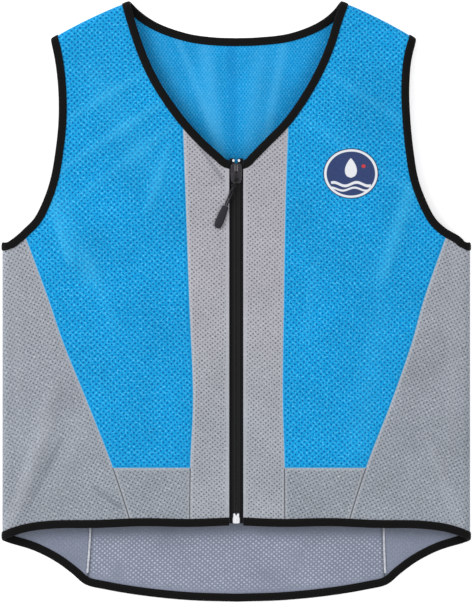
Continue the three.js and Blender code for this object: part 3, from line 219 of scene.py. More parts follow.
def catmull_rom(points, steps):
    """Centripetal run through points in the plane or in space.

    run = step / root of its length; tangent = run before - leap / both roots + run after
    from a to b: a + start t + (3 (b - a) - 2 start - end) t^2 + (2 (a - b) + start + end) t^3
    """
    p = np.asarray(points, float)
    p = np.vstack([2 * p[0] - p[1], p, 2 * p[-1] - p[-2]])
    reach = np.sqrt(np.linalg.norm(np.diff(p, axis=0), axis=1))[:, None]
    run = np.diff(p, axis=0) / reach
    tangent = run[:-1] - (p[2:] - p[:-2]) / (reach[1:] + reach[:-1]) + run[1:]
    a, b = p[1:-2, None], p[2:-1, None]
    start = (tangent[:-1] * reach[1:-1])[:, None]
    end = (tangent[1:] * reach[1:-1])[:, None]
    t = np.linspace(0, 1, steps, endpoint=False)[:, None]
    cubic = a + start * t + (3 * (b - a) - 2 * start - end) * t**2
    cubic = cubic + (2 * (a - b) + start + end) * t**3
    return np.vstack([cubic.reshape(-1, p.shape[1]), p[-2]])


def walk(points):
    """Length of a polyline, and the share of it walked at each point."""
    sums = np.concatenate([[0], np.cumsum(np.linalg.norm(np.diff(points, axis=0), axis=1))])
    return sums[-1], sums / sums[-1]


def walked(points):
    """Distance walked at each point of a polyline: its share times the length."""
    length, share = walk(points)
    return share * length


def read_run(at, sums, places):
    """Places at distances along a run, each coordinate by straight interpolation."""
    return np.stack([np.interp(at, sums, column) for column in places.T], -1)


class Edge:
    """A smooth edge on the flat cloth. Shares from 0 to 1 run along its length."""

    def __init__(self, points):
        self.xy = catmull_rom(flatten(points), EDGE_STEPS)
        self.length, self.share = walk(self.xy)

    def at(self, share):
        """Places at shares of the length."""
        return read_run(share, self.share, self.xy)

    def where(self, measure, low=0, high=1):
        """Share where a measure of the place first changes sign, by straight interpolation."""
        share = np.linspace(low, high, SEARCH_STEPS)
        value = measure(*self.at(share).T)
        k = np.argmax(value[:-1] * value[1:] <= 0)
        return share[k] + (share[k + 1] - share[k]) * value[k] / (value[k] - value[k + 1])

    def at_y(self, y):
        """Share where the edge passes a height."""
        return self.where(lambda _, v: v - y)

    def x_at_y(self, y):
        """Sideways place of the edge at a height."""
        return self.at(self.at_y(y))[0]

    def y_at_x(self, x):
        """Height of the edge at a sideways place."""
        return self.at(self.where(lambda u, _: u - x))[1]


# %% [markdown]
# Each side has nine edges and seams. The necklines and armholes hang from the shoulder, the hems
# run between two heights, and each seam starts on an edge that is there already, so the two always
# meet. The back's armhole is cut a little further in than the front's.


# %% The edges of both sides
def side_edges(side):
    """Every edge and seam of one side, from top to end, or from the centre outwards."""
    column = 1 if side == LEFT else 2

    def rows(table, top, depth, width, inset=0):
        """Points: side * (width * share - inset * sin(pi down)^2), top - depth * down."""
        bows = [inset * np.sin(np.pi * row[0]) ** 2 for row in table]
        return [
            (side * (width * row[column] - bow), top - depth * row[0])
            for row, bow in zip(table, bows)
        ]

    def hem_rows(table, start, end):
        """Points: side * half width * out, start + (end - start) * drop."""
        return [(side * HALF_WIDTH * out, start + (end - start) * drop) for out, drop in table]

    def seam(top, table):
        """A seam from its top point through the rows of its table."""
        return Edge([top, *rows(table, TOP_Y, NECK_TO_HEM, HALF_WIDTH)])

    underarm = (side * FOLD_X, TIP_Y - ARMHOLE_DEPTH)
    corner = (side * FOLD_X, SIDE_HEM_Y)
    neck = Edge(rows(FRONT_NECKLINE, TOP_Y, FRONT_NECK_DEPTH, NECK_HALF_WIDTH))
    back_neck = rows(BACK_NECKLINE, TOP_Y, BACK_NECK_DEPTH, NECK_HALF_WIDTH)
    arm, back_arm = (
        Edge([*rows(ARMHOLE, TIP_Y, ARMHOLE_DEPTH, HALF_WIDTH, inset), underarm])
        for inset in (0, BACK_ARMHOLE_INSET)
    )
    centre_x = side * HALF_WIDTH * CENTRE_SEAM_TOP[column - 1]
    side_top = TIP_Y - ARMHOLE_DEPTH * SIDE_SEAM_TOP
    return dict(
        neck=neck,
        arm=arm,
        back_arm=back_arm,
        back_neck=Edge([*back_neck, (0, TOP_Y - BACK_NECK_DEPTH)]),
        hem=Edge([*hem_rows(FRONT_HEM, FRONT_HEM_Y, SIDE_HEM_Y), corner]),
        back_hem=Edge([corner, *hem_rows(BACK_HEM, SIDE_HEM_Y, -TOP_Y), (0, -TOP_Y)]),
        centre_seam=seam((centre_x, neck.y_at_x(centre_x)), CENTRE_SEAM),
        side_seam=seam((arm.x_at_y(side_top), side_top), SIDE_SEAM),
        back_seam=seam((back_arm.x_at_y(side_top), side_top), BACK_SEAM),
    )


edges = {side: side_edges(side) for side in SIDES}
BOUND = ("neck", "arm", "back_arm", "back_neck", "hem", "back_hem")
print("bound edges:", round(sum(edges[s][name].length for s in edges for name in BOUND)), "mm of tape")

# %% [markdown]
# ## How the cloth lies
#
# One function, `lay`, takes a place on the flat cloth to the point where it lies. Every piece below
# asks it, so panels, tapes, stitches and the badge always agree. The back layer rests on the table.
# The front layer stands off it by the folds' diameter, with a low crown over the chest. Beside a
# bound edge both layers lift by the thickness of the tape that is wrapped round them. The lift
# depends on the distance to the nearest bound edge, which is worked out once on a 2 mm map and
# looked up after that.

# %% Distance to the nearest bound edge
MAP_STEP = 2
MAP_X, MAP_Y = np.arange(-300, 301, MAP_STEP), np.arange(-380, 381, MAP_STEP)
MAP_RIM = 1.001
EDGE_SAMPLES = 160


def distance_map():
    """Least distance from each map point to sampled points of the bound edges, row by row."""
    share = np.linspace(0, 1, EDGE_SAMPLES)
    near = [edges[side][name].at(share) for side in edges for name in BOUND]
    near = np.vstack(near).astype(np.float32)
    across = (MAP_X[:, None] - near[:, 0]) ** 2
    return np.array([np.sqrt((across + (y - near[:, 1]) ** 2).min(1)) for y in MAP_Y])


EDGE_MAP = distance_map()


def to_edge(x, y):
    """Distance to the nearest bound edge, read from the map by blending its four nearest points."""
    u = np.clip((x - MAP_X[0]) / MAP_STEP, 0, len(MAP_X) - MAP_RIM)
    v = np.clip((y - MAP_Y[0]) / MAP_STEP, 0, len(MAP_Y) - MAP_RIM)
    i, j = v.astype(int), u.astype(int)
    v, u = v - i, u - j
    low = EDGE_MAP[i, j] * (1 - u) + EDGE_MAP[i, j + 1] * u
    high = EDGE_MAP[i + 1, j] * (1 - u) + EDGE_MAP[i + 1, j + 1] * u
    return low * (1 - v) + high * v


# %% [markdown]
# Handling leaves broad, soft folds: at the underarms, below the neck, beside the hem and inside the
# back. A fold is a straight ridge between two places. Its places are shares of the half width and
# of the front's length, its width and height are millimetres.

# %% Soft folds: x, down, to x, to down, width, height
FRONT_FOLDS = [
    (-0.94, 0.98, -0.8, 0.76, 12, 3), (-0.84, 1, -0.66, 0.82, 14, 2),
    (-0.78, 0.34, -0.64, 0.52, 14, 2), (-0.6, 0.14, -0.34, 0.34, 22, 1.6),
    (0.62, 0.6, 0.52, 0.84, 20, 1.6), (0.76, 0.36, 0.6, 0.52, 15, 1.6),
]
BACK_FOLDS = [
    (-0.13, 0.1, -0.05, 0.34, 12, 3), (0.1, 0.11, 0.03, 0.34, 14, 2.2),
    (-0.34, 0.07, -0.22, 0.2, 14, 1.4),
]


def soft_folds(table, x, y):
    """Sum of rounded ridges: a bell curve across each fold, fading past its two ends."""
    total = 0
    for start_x, down, end_x, end_down, width, height in table:
        ax, ay = start_x * HALF_WIDTH, TOP_Y - down * NECK_TO_HEM
        rx, ry = end_x * HALF_WIDTH - ax, (down - end_down) * NECK_TO_HEM
        length = np.hypot(rx, ry)
        along = ((x - ax) * rx + (y - ay) * ry) / length**2
        away = ((x - ax) * ry - (y - ay) * rx) / length
        ends = smooth(along / FOLD_END + 1) * smooth((1 - along) / FOLD_END + 1)
        total = total + height * ends * np.exp(-((away / width) ** 2))
    return total


# %% [markdown]
# The folds above are broad enough to be part of the solids. Handling also leaves finer streaks: a
# fan of them runs from the neckline down to each armhole, where the weight of the cloth pulls, and
# a few run along the sides. A negative height is a crease that goes in.

# %% Fine streaks: x, down, to x, to down, width, height
FRONT_STREAKS = [
    (-0.37, 0.128, -0.755, 0.234, 6, 0.9), (-0.263, 0.176, -0.72, 0.311, 6, 1.0),
    (-0.24, 0.224, -0.627, 0.359, 7, 0.8), (-0.79, 0.387, -0.72, 0.483, 6, 1.2),
    (-0.293, 0.282, -0.37, 0.387, 6, 0.9), (-0.62, 0.5, -0.52, 0.62, 9, 0.7),
    (0.4, 0.138, 0.7, 0.224, 7, 0.9), (0.273, 0.215, 0.68, 0.339, 7, 0.8),
    (0.723, 0.378, 0.637, 0.512, 7, 1.0), (0.34, 0.5, 0.3, 0.64, 9, 0.6),
    (-0.948, 0.493, -0.93, 0.8, 9, 0.9), (0.937, 0.51, 0.916, 0.82, 9, 0.9),
    (-0.97, 0.985, -0.82, 0.83, 6, 1.7), (-0.93, 1.0, -0.76, 0.85, 6, -1.3),
    (0.95, 0.99, 0.84, 0.86, 7, 1.2), (-0.158, 0.274, -0.068, 0.333, 2.8, -1.6),
    (-0.6, 0.93, -0.5, 0.965, 4, -1.3), (0.12, 0.33, 0.17, 0.4, 4, 0.3),
]
BACK_STREAKS = [
    (-0.24, 0.08, -0.12, 0.22, 5, 1.1), (0.2, 0.09, 0.13, 0.26, 7, 1.2),
    (-0.02, 0.09, -0.01, 0.3, 7, -1.6), (0.02, 1.06, -0.3, 1.1, 12, 0.8),
    (0.3, 1.05, 0.1, 1.11, 12, 0.7), (-0.5, 1.04, -0.42, 1.12, 8, 0.8),
]

# %% [markdown]
# Cloth that has been handled never lies quite even. A handful of long sine waves in random
# directions, from a seeded draw so that every run is the same, gives it a low swell. It dies out at
# the folds, and on the front beside the zip, where hard pieces lie on the cloth.

# %% A low swell
SWELL = 0.8
SWELL_TO_ONE = 2.4
WAVES = 16
BACK_SHIFT = 400
SOFT_FLOOR = 0.2
ZIP_CALM, ZIP_SETTLE = 36, 40
draw = np.random.default_rng(7)
wave_turn = draw.uniform(0, np.pi, WAVES)
wave_length = draw.uniform(34, 120, WAVES)
wave_phase = draw.uniform(0, 2 * np.pi, WAVES)


def swell(x, y):
    """Sum of sine waves, each as high as it is long, scaled to about -1 to 1."""
    x, y = np.asarray(x)[..., None], np.asarray(y)[..., None]
    run = (x * np.cos(wave_turn) + y * np.sin(wave_turn)) / wave_length
    high = (np.sin(TURN * run + wave_phase) * wave_length).sum(-1)
    return high / wave_length.sum() * SWELL_TO_ONE


def relief(x, y, layer):
    """How far a layer stands off the plane that its edge folds give it.

    front = lift at a binding + crown * (1 - a^2)^2 * (0.55 + 2 a^2) + folds + swell, where a is
    the share of the way out to the side fold
    back = lift at a binding + (r + root of (r^2 + floor^2)) / 2, r = folds + swell, so that a
    crease in the back never sinks into the table
    """
    edge = to_edge(x, y)
    inside = np.minimum(FOLD_X - np.abs(x), in_from_shoulder(x, y))
    lift = (BINDING_HALF - CLOTH / 2) * (1 - smooth((edge - BINDING_WIDTH) / EDGE_SETTLE))
    fade = smooth(np.minimum(inside - FOLD_RADIUS, edge - BINDING_WIDTH) / FOLD_FADE)
    calm = smooth((inside - FOLD_RADIUS) / EDGE_SETTLE)
    across = np.minimum(1, np.abs(x) / FLAT_X)
    lateral = (1 - across**2) ** 2 * (CROWN_AT_ZIP + 2 * across**2)
    shoulder = smooth(in_from_shoulder(x, y) / CROWN_RISE)
    hem = CROWN_AT_HEM + (1 - CROWN_AT_HEM) * smooth((y - FRONT_HEM_Y) / CROWN_RISE)
    beside_zip = smooth((np.abs(x) - ZIP_CALM) / ZIP_SETTLE)
    front = lift * (1 - calm) + CROWN * lateral * shoulder * hem
    front = front + fade * soft_folds(FRONT_FOLDS + FRONT_STREAKS, x, y)
    front = front + SWELL * calm * beside_zip * swell(x, y)
    rise = soft_folds(BACK_FOLDS + BACK_STREAKS, x, y)
    rise = rise + SWELL * (1 + swell(x + BACK_SHIFT, y)) / 2
    back = lift + fade * (rise + np.hypot(rise, SOFT_FLOOR)) / 2
    return np.where(np.asarray(layer) == FRONT, front, back)


# %% [markdown]
# Laying is the reverse of flattening. A place that is further out than the flat part of its layer
# goes round the fold, and past half a turn it comes out in the other layer.


# %% Laying the cloth
def lay(x, y, layer):
    """Middle of the cloth where a flat place comes to lie.

    past = distance beyond the flat part of the layer, into the nearest fold
    angle = past / radius, up to half a turn, and after that the cloth runs back the way it came
    point = place moved outwards by radius * sin(angle) - past
    height = radius * (1 + layer * cos(angle)) + relief
    """
    from_side, from_shoulder = MIDDLE_X - np.abs(x), in_from_shoulder(x, y) + TAKE_UP
    out_x, out_y = outwards(x, from_side, from_shoulder)
    past = np.maximum(0, QUARTER_TURN - np.minimum(from_side, from_shoulder))
    angle = np.minimum(past / FOLD_RADIUS, np.pi)
    shift = FOLD_RADIUS * np.sin(angle) - past - np.maximum(0, past - FOLD_RADIUS * np.pi)
    px, py = x + out_x * shift, y + out_y * shift
    there = np.where(angle > np.pi / 2, -layer, layer)
    height = CLOTH / 2 + FOLD_RADIUS * (1 + layer * np.cos(angle)) + relief(px, py, there)
    return np.stack([px, py, height], -1)


def facing(x, y, layer, step=0.6):
    """Unit vector out of the garment: the cross product of its ways along x and along y."""
    along_x = lay(x + step, y, layer) - lay(x - step, y, layer)
    along_y = lay(x, y + step, layer) - lay(x, y - step, layer)
    normal = np.cross(along_x, along_y) * np.asarray(layer)[..., None]
    return normal / np.linalg.norm(normal, axis=-1, keepdims=True)


print("crown of the chest:", np.round(lay(np.array([90.0]), np.array([60.0]), FRONT)[0], 1))

# %% [markdown]
# ## From arrays to Blender meshes
#
# A piece is a few numpy arrays: points, faces by corner number, a material number for each face,
# and values that the shader reads. `foreach_set` copies whole arrays, so a hundred thousand faces
# take a fraction of a second.


# %% Making a piece
def piece(
    name, points, faces, materials, replaces=(), face_material=None, marks=None, sharp=40,
):
    """A named mesh from points in millimetres and arrays of faces, one array or more a size."""
    faces = [np.asarray(f) for f in faces if len(f)]
    corners = np.concatenate([f.ravel() for f in faces]).astype(np.int32)
    sizes = np.concatenate([np.full(len(f), f.shape[1]) for f in faces])
    mesh = bpy.data.meshes.new(name)
    mesh.vertices.add(len(points))
    mesh.vertices.foreach_set("co", (np.asarray(points) * MM).astype(np.float32).ravel())
    mesh.loops.add(len(corners))
    mesh.loops.foreach_set("vertex_index", corners)
    mesh.polygons.add(len(sizes))
    starts = np.concatenate([[0], np.cumsum(sizes)[:-1]])
    mesh.polygons.foreach_set("loop_start", starts.astype(np.int32))
    if face_material is not None:
        mesh.polygons.foreach_set("material_index", np.asarray(face_material, np.int32))
    for key, values in (marks or {}).items():
        attribute = mesh.attributes.new(key, "FLOAT_VECTOR", "POINT")
        attribute.data.foreach_set("vector", np.asarray(values, np.float32).ravel())
    mesh.update()
    mesh.validate()
    mesh.shade_smooth()
    mesh.set_sharp_from_angle(angle=np.radians(sharp))
    made = bpy.data.objects.new(name, mesh)
    bpy.context.scene.collection.objects.link(made)
    for material in materials:
        mesh.materials.append(material)
    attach(made, "root")
    if replaces:
        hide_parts(*replaces)
    return made


def grid_quads(rows, columns, flip=False):
    """Corner numbers of the cells of a grid, row after row."""
    k = np.arange(rows * columns).reshape(rows, columns)
    quads = np.stack([k[:-1, :-1], k[:-1, 1:], k[1:, 1:], k[1:, :-1]], -1).reshape(-1, 4)
    return quads[:, ::-1] if flip else quads


def wall(points, normals, high, low):
    """A closed wall over a grid: one skin lifted by `high`, one by `low`, and a rim round both.

    Returns points, faces, and for each face whether it belongs to the inner skin.
    """
    rows, columns = points.shape[:2]
    count = rows * columns
    high, low = (np.broadcast_to(value, (rows, columns))[..., None] for value in (high, low))
    flat_points, flat_normals = points.reshape(-1, 3), normals.reshape(-1, 3)
    high, low = high.reshape(-1, 1), low.reshape(-1, 1)
    skins = np.concatenate([flat_points + flat_normals * high, flat_points + flat_normals * low])
    i, j = rows // 2, columns // 2
    cell = np.cross(points[i, j + 1] - points[i, j], points[i + 1, j] - points[i, j])
    flip = np.dot(cell, normals[i, j]) < 0
    outer = grid_quads(rows, columns, flip)
    k = np.arange(count).reshape(rows, columns)
    loop = np.concatenate([k[0, :-1], k[:-1, -1], k[-1, :0:-1], k[:0:-1, 0]])
    after = np.roll(loop, -1)
    rim = np.stack([after, loop, loop + count, after + count], -1)
    rim = rim[:, ::-1] if flip else rim
    faces = np.concatenate([outer, outer[:, ::-1] + count, rim])
    inner = np.concatenate([np.zeros(len(outer)), np.ones(len(outer)), np.zeros(len(rim))]).astype(int)
    return skins, faces, inner


def tube(rings, closed_run=False):
    """A closed skin from rings of points, with a face over each open end.

    Its volume is a sum of products of corners, so a negative sum means that it is inside out.
    """
    count, sides = rings.shape[:2]
    k = np.arange(count * sides).reshape(count, sides)
    here, there = (k, np.roll(k, -1, 0)) if closed_run else (k[:-1], k[1:])
    quads = np.stack([here, np.roll(here, -1, 1), np.roll(there, -1, 1), there], -1).reshape(-1, 4)
    points = rings.reshape(-1, 3)
    a, b, c, d = (points[quads[:, n]] for n in range(4))
    volume = np.einsum("ij,ij->", a, np.cross(b, c)) + np.einsum("ij,ij->", a, np.cross(c, d))
    inside_out = volume < 0
    quads = quads[:, ::-1] if inside_out else quads
    caps = np.empty((0, sides), int) if closed_run else np.stack([k[0, ::-1], k[-1]])
    return points, [quads, caps[:, ::-1] if inside_out else caps]


# %% [markdown]
# ## Shader maths in plain Python
#
# A finish is a sum of small formulas: where a hole is, how the yarn glints, how a seam darkens.
# Wiring each sum by hand hides the formula, so one small class wraps a socket and lets Python's own
# signs add the nodes. A sum of numbers uses a Math node. A sum with a colour or a vector in it uses
# Vector Math, which keeps all three channels.


# %% Sockets that can be added and multiplied
class Signal:
    """The output of a node. +, -, * and / add a node that works on it."""

    def __init__(self, paint, socket):
        self.paint, self.socket = paint, socket

    def join(self, operation, first, second=None):
        """A node of one or two values: Vector Math if one of them is a vector or a colour."""
        values = [first] if second is None else [first, second]
        vector = any(isinstance(v, Signal) and v.socket.type in ("VECTOR", "RGBA") for v in values)
        kind = "ShaderNodeVectorMath" if vector else "ShaderNodeMath"
        return self.paint.node(kind, {"operation": operation}, *values)

    def __add__(self, other):
        return self.join("ADD", self, other)

    def __radd__(self, other):
        return self.join("ADD", other, self)

    def __sub__(self, other):
        return self.join("SUBTRACT", self, other)

    def __rsub__(self, other):
        return self.join("SUBTRACT", other, self)

    def __mul__(self, other):
        return self.join("MULTIPLY", self, other)

    def __rmul__(self, other):
        return self.join("MULTIPLY", other, self)

    def __truediv__(self, other):
        return self.join("DIVIDE", self, other)

    def cos(self):
        """Cosine of an angle in radians."""
        return self.join("COSINE", self)

    def dot(self, vector):
        """Sum of the products of the parts of two vectors."""
        made = self.paint.tree.nodes.new("ShaderNodeVectorMath")
        made.operation = "DOT_PRODUCT"
        self.paint.tree.links.new(self.socket, made.inputs[0])
        made.inputs[1].default_value = vector
        return Signal(self.paint, made.outputs["Value"])

    def step(self, low, high):
        """S-curve 3t^2 - 2t^3 from 0 at low to 1 at high. With low above high it falls instead."""
        settings = {"interpolation_type": "SMOOTHSTEP"}
        if low > high:
            return 1 - self.paint.node("ShaderNodeMapRange", settings, self, high, low, 0, 1)
        return self.paint.node("ShaderNodeMapRange", settings, self, low, high, 0, 1)


class Paint:
    """A material under construction."""

    def __init__(self, name):
        self.material = bpy.data.materials.new(name)
        self.material.use_nodes = True
        self.tree = self.material.node_tree
        self.tree.nodes.clear()

    def put(self, socket, value):
        """Link a signal into a socket, or set a number there. A lone one fills a whole vector."""
        if isinstance(value, Signal):
            self.tree.links.new(value.socket, socket)
        elif socket.type in ("VECTOR", "RGBA") and np.ndim(value) == 0:
            socket.default_value = [value] * len(socket.default_value)
        else:
            socket.default_value = value

    def node(self, kind, settings=None, *values, **named):
        """Any node: type, settings, then sockets in order or by name. Gives its first live output."""
        made = self.tree.nodes.new(kind)
        for key, value in (settings or {}).items():
            setattr(made, key, value)
        for socket, value in zip([s for s in made.inputs if s.enabled], values):
            self.put(socket, value)
        for key, value in named.items():
            self.put(made.inputs[key.replace("_", " ")], value)
        return Signal(self, next(s for s in made.outputs if s.enabled))

    def mark(self, name, part=None):
        """A vector that the mesh carries, or one part of it."""
        made = self.tree.nodes.new("ShaderNodeAttribute")
        made.attribute_name = name
        vector = Signal(self, made.outputs["Vector"])
        return vector if part is None else vector.dot([float(k == part) for k in range(3)])

    def place(self):
        """Object coordinates in millimetres."""
        made = self.tree.nodes.new("ShaderNodeTexCoord")
        return Signal(self, made.outputs["Object"]) * (1 / MM)

    def noise(self, vector, scale, detail=2.0, roughness=0.5):
        """Smooth random values from 0 to 1, `scale` of them for each unit of the vector."""
        named = dict(Vector=vector, Scale=scale, Detail=detail, Roughness=roughness)
        return self.node("ShaderNodeTexNoise", None, **named)

    def mix(self, factor, a, b):
        """Colour a where the factor is 0, b where it is 1."""
        return self.node("ShaderNodeMix", {"data_type": "RGBA"}, factor, a, b)

    def finish(self, colour, roughness, height=None, depth=0.3, strength=1.0, **fixed):
        """The shader and the output. Height is 0 to 1 and depth its size in millimetres."""
        named = dict(Base_Color=colour, Roughness=roughness)
        if height is not None:
            bump = dict(Height=height, Distance=depth * MM, Strength=strength)
            named["Normal"] = self.node("ShaderNodeBump", None, **bump)
        shader = self.node("ShaderNodeBsdfPrincipled", None, **named, **fixed)
        output = self.tree.nodes.new("ShaderNodeOutputMaterial")
        self.tree.links.new(shader.socket, output.inputs["Surface"])
        return self.material


def srgb(red, green, blue):
    """A screen colour, 0 to 255, as a shader takes it: ((c + 0.055) / 1.055) to the power 2.4."""
    c = np.array([red, green, blue]) / 255
    return [*np.where(c < 0.04045, c / 12.92, ((c + 0.055) / 1.055) ** 2.4), 1.0]


# %% [markdown]
# ## The padded mesh
# The holes are painted, not cut: on the outer faces their dark colour is painted shade of the padded
# inside seen through them.
#
# Both cloths are spacer fabrics: two knitted faces held apart by upright yarns, with rows of small
# holes. The holes sit on a slanted square lattice, about 5 mm apart on the blue cloth and 4 mm on
# the grey. Two sets of waves that cross make such a lattice: a hole is where both waves crest
# together. The waves run over the flat cloth, so the rows follow each piece round its folds, and
# each piece has its own slant because each was cut and laid a little differently. Fine flecks are
# the yarn between the holes.
#
# Along a seam the needle pulls the cloth down into a groove that is finer than the mesh. Where grey
# meets grey a thin dark line is painted there, as painted shade of that groove, and where blue meets
# grey the line is pale, as it is on the real vest. Inside the tail a dark band beside each seam is
# painted shadow of the overlocked edge that lies along it.

# %% Lattices: waves per millimetre along x and y
LATTICE = {
    "blue_left": ((0.1498, -0.1433, 0), (0.1351, 0.1563, 0)),
    "blue_right": ((0.1335, -0.1563, 0), (0.1563, 0.1481, 0)),
    "strip": ((0.1872, 0.1774, 0), (0.1465, -0.1856, 0)),
    "side_left": ((0.2169, -0.1202, 0), (0.1167, 0.2022, 0)),
    "side_right": ((0.2169, 0.1202, 0), (0.1081, -0.2121, 0)),
    "tail": ((0.1509, 0.1798, 0), (0.164, -0.1887, 0)),
    "twill": ((0.2452, 0.1781, 0), (0.2452, -0.1781, 0)),
}
WANDER = 2.2
FOLDED_EDGE = (3.2, 4.4)
BELOW_BINDING = (6, 20)
LOWER_PART = (80, -220)
MATT = 0.15


def mesh_cloth(
    name, lattice, ground, hole, fleck, seam_tone, hole_size=0.75, flecks=0.5, depth=0.45,
    fade=None, fold_highlight=0.16, lower=None,
):
    """Knitted mesh: a ground colour with holes on the lattice and light flecks of yarn.

    waves = cos(first lattice wave) + cos(second one), from -2 to 2, plus a little noise, and a
    hole opens where the sum is above hole_size. The folded edge beside the zip has none.
    colour = ground, mixed towards `hole` in the holes and towards `fleck` on the yarns. On the outer
    faces the dark `hole` colour is painted shade of the padded inside. The ridge of a soft fold gets a
    painted highlight towards `fleck`, and in a crease `hole` mixes in as painted shade.
    seam_tone = colour of the cloth beside a seam, and of the line in the seam itself; a dark line is
    painted shade of the seam's groove, and inside the tail a dark band is painted shadow beside the
    overlocked edge
    fade = range of the noise that hides holes in blotches; lower = ground further down the vest
    """
    paint = Paint(name)
    cloth = paint.mark("cloth") * (1, 1, 0)
    wander = cloth + (paint.noise(cloth, 0.09, 2.0) - 0.5) * WANDER
    a, b = LATTICE[lattice]
    waves = (wander.dot(a) * TURN).cos() + (wander.dot(b) * TURN).cos()
    patchy_noise = paint.noise(cloth, 0.16, 3.0, 0.65)
    knitted = paint.mark("seam", 2).step(*FOLDED_EDGE)
    holes = (waves + (patchy_noise - 0.5) * WANDER).step(hole_size - 0.35, hole_size + 0.8) * knitted
    if fade is not None:
        blotches = paint.noise(cloth, 0.02, 2.0).step(*fade)
        holes = holes * blotches * paint.mark("seam", 1).step(*BELOW_BINDING)
    yarn = paint.noise(cloth, 0.42, 2.0, 0.75).step(0.49, 0.66)
    ridge = (waves * -1).step(0.1, 1.6) * knitted
    tone = paint.noise(cloth, 0.015, 3.0, 0.6) * 0.42 + 0.79
    if lower is not None:
        ground = paint.mix(paint.mark("cloth", 1).step(*LOWER_PART), ground, lower)
    lifted = paint.mark("cloth", 2) + (patchy_noise - 0.5) * 1.2
    gap = paint.mark("seam", 0)
    beside_seam, seam_line = seam_tone
    # On the outer faces the dark hole colour is painted shade of the padded inside seen through each
    # hole.
    colour = paint.mix(holes, ground, hole)
    colour = paint.mix(yarn * (1 - holes) * flecks, colour, fleck)
    colour = paint.mix(ridge * yarn * 0.55, colour, fleck) * tone
    colour = paint.mix((1 - knitted) * 0.16, colour, fleck)
    # Painted highlight on the ridges of soft folds, and painted shade in their creases.
    colour = paint.mix(lifted.step(0.1, 1.9) * fold_highlight, colour, fleck)
    colour = paint.mix(lifted.step(-0.2, -1.4) * 0.38, colour, hole)
    # Beside a seam and in its line: a dark line is painted shade of the seam's groove, and inside the
    # tail the dark band is painted shadow of the overlocked edge.
    colour = paint.mix(gap.step(4.2, 1.6) * 0.42, colour, beside_seam)
    colour = paint.mix(gap.step(1.1, 0.35) * 0.8, colour, seam_line)
    height = (1 - holes) * 0.75 + yarn * 0.25
    rough = 0.78 + holes * 0.15
    return paint.finish(colour, rough, height, depth, 0.75, Specular_IOR_Level=MATT)


# DARK_BLUE and DARK_GREY are seam lines, painted shade of a seam's groove.
DARK_BLUE, PALE_BLUE, DARK_GREY = srgb(8, 84, 132), srgb(92, 186, 232), srgb(66, 68, 76)
BLUE = dict(
    ground=srgb(1, 151, 216), hole=srgb(0, 100, 168), fleck=srgb(82, 202, 248),
    seam_tone=(srgb(10, 138, 204), PALE_BLUE), hole_size=0.8, flecks=0.64, fold_highlight=0.27,
)
GREY = dict(
    ground=srgb(152, 156, 165), hole=srgb(94, 99, 109), fleck=srgb(198, 201, 208),
    seam_tone=(srgb(184, 187, 194), DARK_GREY), hole_size=1.05, lower=srgb(143, 150, 159),
)
STRIP_GREY = {
    **GREY, "ground": srgb(169, 167, 175), "lower": srgb(158, 163, 171),
    "seam_tone": (srgb(190, 191, 198), DARK_GREY),
}
blue_left = mesh_cloth("blue_mesh_left", "blue_left", **BLUE)
blue_right = mesh_cloth("blue_mesh_right", "blue_right", **BLUE)
grey_strip = mesh_cloth("grey_mesh_strip", "strip", **STRIP_GREY)
grey_left = mesh_cloth("grey_mesh_left", "side_left", **GREY)
grey_right = mesh_cloth("grey_mesh_right", "side_right", **GREY)

# %% [markdown]
# The inside face is knitted finer. At the neck the blue cloth shows a close diagonal twill. In the
# tail the grey cloth shows light dots where the upright yarns pull through, and they fade out in
# random blotches and near the bound edges.

# %% Inside faces
blue_inside = mesh_cloth(
    "blue_mesh_inside", "twill", ground=srgb(22, 156, 220), hole=srgb(6, 128, 198),
    fleck=srgb(92, 194, 246), seam_tone=(srgb(20, 128, 190), DARK_BLUE), hole_size=0.5, flecks=0.36,
    depth=0.25, fold_highlight=0.42,
)
# Inside the tail the dark seam tones are painted shadow beside the overlocked seam edges.
INSIDE_GREY = dict(
    ground=srgb(126, 133, 151), hole=srgb(184, 189, 204), fleck=srgb(152, 158, 174),
    seam_tone=(srgb(80, 85, 100), srgb(58, 61, 72)), flecks=0.4, depth=0.2, fade=(0.16, 0.46),
)
grey_inside = mesh_cloth("grey_mesh_inside", "tail", **INSIDE_GREY)
SIDE_GREY = {**INSIDE_GREY, "hole": srgb(143, 149, 166)}
side_inside = mesh_cloth("grey_mesh_side_inside", "tail", **SIDE_GREY)

# %% [markdown]
# ## Tape, metal, cord, rubber and print
#
# The black binding is a stretch tape: fine ribs run across it. They are waves over the distance
# along the tape, which each tape mesh carries. The zip's tape is woven with lengthwise ribs and
# fine cross lines. Metal is a reflective shader with a slightly uneven tone, and the moulded grip
# is matt rubber.


# %% Small finishes
def ribbed(name, base, light, along, across, rough=0.7, depth=0.12, fuzz=0.3):
    """Ribs: half of 1 + cos(turn * distance / spacing), along a band and across it."""
    paint = Paint(name)
    run = paint.mark("band", 0)
    side = paint.mark("band", 1)
    ribs = (run * (TURN / along)).cos() * 0.5 + 0.5
    lines = (side * (TURN / across)).cos() * 0.5 + 0.5
    lint = paint.noise(paint.place(), 0.9, 3.0, 0.6)
    height = ribs * 0.5 + lines * 0.5
    colour = paint.mix(height * 0.6, base, light)
    colour = paint.mix(lint.step(0.58, 0.75) * fuzz, colour, light)
    return paint.finish(colour, rough, height, depth, 0.8, Specular_IOR_Level=MATT)


def plain(name, base, light, rough, metallic=0.0, scale=0.35, **fixed):
    """A smooth finish with a little uneven tone and roughness."""
    paint = Paint(name)
    uneven = paint.noise(paint.place(), scale, 4.0, 0.65)
    colour = paint.mix(uneven.step(0.35, 0.75), base, light)
    return paint.finish(colour, uneven * 0.14 + rough, uneven, 0.03, 0.5, Metallic=metallic, **fixed)


binding_tape = ribbed("stretch_binding", srgb(4, 4, 4), srgb(22, 20, 20), 1.5, 2.4, rough=0.85)

